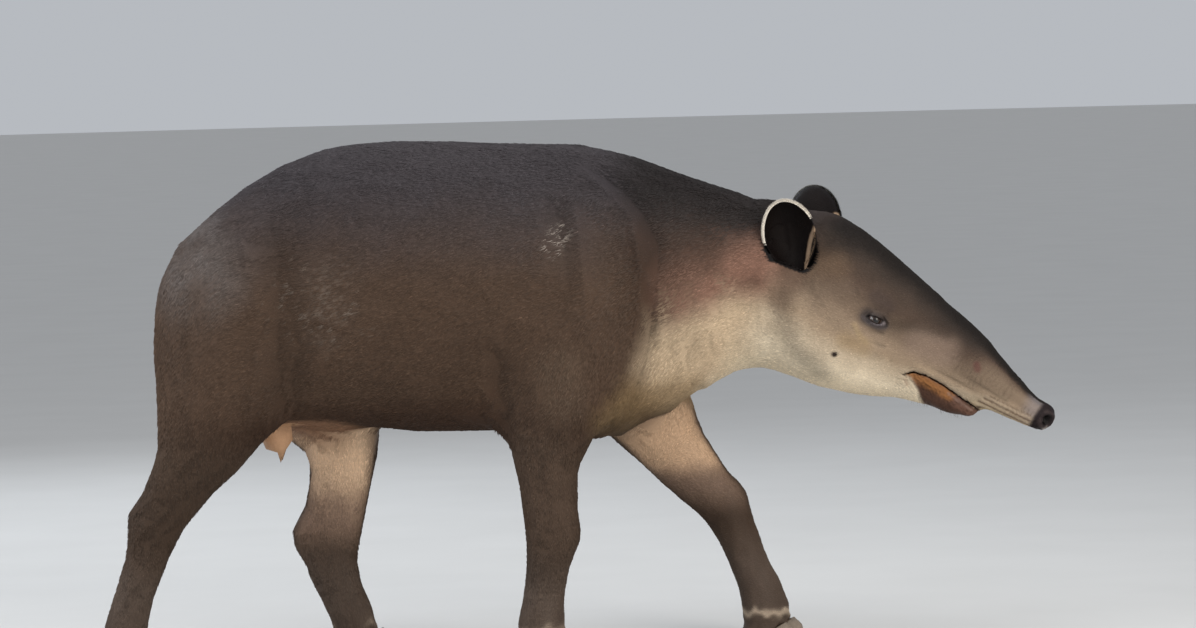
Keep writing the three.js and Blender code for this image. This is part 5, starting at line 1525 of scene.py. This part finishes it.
def build_fringes(settings):
    """Hairs that stand out of the short coat: ears, lashes, bristles, mane and tail."""
    ground = Ground(bpy.data.objects["skin"])
    random = np.random.default_rng(12)
    material = bpy.data.materials["coat"]
    fringe(ground, random, "coat_ear_fringes", ear_hairs(random), material, "coat_ear", settings.length)
    fringe(ground, random, "coat_lashes", lash_hairs(random), material, "coat_face", settings.length)
    fringe(ground, random, "coat_bristles", bristle_hairs(random), material, "coat_face", settings.length)
    fringe(ground, random, "coat_mane", crest_hairs(random), material, "coat_body", settings.length)


# the add-on


class TapirStage(PropertyGroup):
    elevation: FloatProperty(name="Elevation", description="How far the camera looks down, in degrees", default=3)
    roll: FloatProperty(name="Roll", description="How far the camera is tilted to its left, in degrees", default=1.5)
    distance: FloatProperty(name="Distance", description="From the camera to the animal", default=11, min=3, unit="LENGTH")
    width: FloatProperty(name="Picture width", description="What the picture's width shows at the animal", default=2.356, min=0.1, unit="LENGTH")
    fill: FloatProperty(name="Sky", description="The strength of the light from all round", default=0.55, min=0)
    light: FloatProperty(name="Lamps", description="The strength of all the lamps together", default=1, min=0)


class TapirSkin(PropertyGroup):
    coat_depth: FloatProperty(name="Coat depth", description="How far the skin lies inside the solids", default=2.0 * MM, min=0, unit="LENGTH")
    faces: IntProperty(name="Triangles", description="How many triangles the skin keeps", default=190_000, min=20_000, max=198_000)


class TapirEyes(PropertyGroup):
    iris: FloatVectorProperty(name="Iris", description="The colour of the iris", subtype="COLOR", size=3, default=(0.022, 0.011, 0.006))
    white: FloatVectorProperty(name="Rim", description="The colour of the eyeball round the iris", subtype="COLOR", size=3, default=(0.05, 0.036, 0.032))


class TapirHooves(PropertyGroup):
    horn: FloatVectorProperty(name="Horn", description="The colour of the hooves", subtype="COLOR", size=3, default=(0.16, 0.12, 0.085))


class TapirCoat(PropertyGroup):
    tufts: IntProperty(name="Tufts", description="How many tufts the coat has, of four triangles each", default=345_000, min=1000, max=370_000)
    tufts_a_piece: IntProperty(name="Tufts a piece", description="The most tufts in one piece", default=49_000, min=100, max=49_900)
    length: FloatProperty(name="Hair length", description="The length of the hair, 1 as in the photograph", default=1, min=0.2, max=2)


class TapirFringes(PropertyGroup):
    length: FloatProperty(name="Hair length", description="The length of the ears' fringes, bristles and mane, 1 as in life", default=1, min=0.2, max=2)


class TAPIR_OT_stage(Operator):
    """Sets the camera, the floor and the light"""

    bl_idname = "tapir.stage"
    bl_label = "Build stage"

    def execute(self, context):
        build_stage(context.scene.tapir_stage)
        return {"FINISHED"}


class TAPIR_OT_skin(Operator):
    """Builds the one skin over all the flesh, with its folds, lids, ears and markings"""

    bl_idname = "tapir.skin"
    bl_label = "Build skin"

    def execute(self, context):
        build_skin(context.scene.tapir_skin)
        return {"FINISHED"}


class TAPIR_OT_eyes(Operator):
    """Builds both eyes"""

    bl_idname = "tapir.eyes"
    bl_label = "Build eyes"

    def execute(self, context):
        build_eyes(context.scene.tapir_eyes)
        return {"FINISHED"}


class TAPIR_OT_hooves(Operator):
    """Builds the hooves of all four feet"""

    bl_idname = "tapir.hooves"
    bl_label = "Build hooves"

    def execute(self, context):
        build_hooves(context.scene.tapir_hooves)
        return {"FINISHED"}


class TAPIR_OT_coat(Operator):
    """Grows the short coat on the skin, which has to be there"""

    bl_idname = "tapir.coat"
    bl_label = "Grow coat"

    def execute(self, context):
        build_coat(context.scene.tapir_coat)
        return {"FINISHED"}


class TAPIR_OT_fringes(Operator):
    """Grows the ears' fringes, lashes, bristles and mane, after the coat"""

    bl_idname = "tapir.fringes"
    bl_label = "Grow fringes"

    def execute(self, context):
        build_fringes(context.scene.tapir_fringes)
        return {"FINISHED"}


SETTINGS = {
    "tapir_stage": TapirStage,
    "tapir_skin": TapirSkin,
    "tapir_eyes": TapirEyes,
    "tapir_hooves": TapirHooves,
    "tapir_coat": TapirCoat,
    "tapir_fringes": TapirFringes,
}
OPERATORS = (TAPIR_OT_stage, TAPIR_OT_skin, TAPIR_OT_eyes, TAPIR_OT_hooves, TAPIR_OT_coat, TAPIR_OT_fringes)


class TAPIR_PT_panel(Panel):
    """Every size and colour, with the button that builds from them"""

    bl_idname = "TAPIR_PT_panel"
    bl_label = "Tapir"
    bl_space_type = "VIEW_3D"
    bl_region_type = "UI"
    bl_category = "Tapir"

    def draw(self, context):
        for (name, group), operator in zip(SETTINGS.items(), OPERATORS):
            box = self.layout.box()
            for key in group.__annotations__:
                box.prop(getattr(context.scene, name), key)
            box.operator(operator.bl_idname)


def register():
    for kind in (*SETTINGS.values(), *OPERATORS, TAPIR_PT_panel):
        bpy.utils.register_class(kind)
    for name, group in SETTINGS.items():
        setattr(bpy.types.Scene, name, PointerProperty(type=group))


def unregister():
    for name in SETTINGS:
        delattr(bpy.types.Scene, name)
    for kind in (TAPIR_PT_panel, *reversed(OPERATORS), *reversed(SETTINGS.values())):
        bpy.utils.unregister_class(kind)


def main():
    register()
    bpy.ops.tapir.stage()
    bpy.ops.tapir.skin()
    bpy.ops.tapir.eyes()
    bpy.ops.tapir.hooves()
    bpy.ops.tapir.coat()
    bpy.ops.tapir.fringes()


if __name__ == "__main__":
    main()
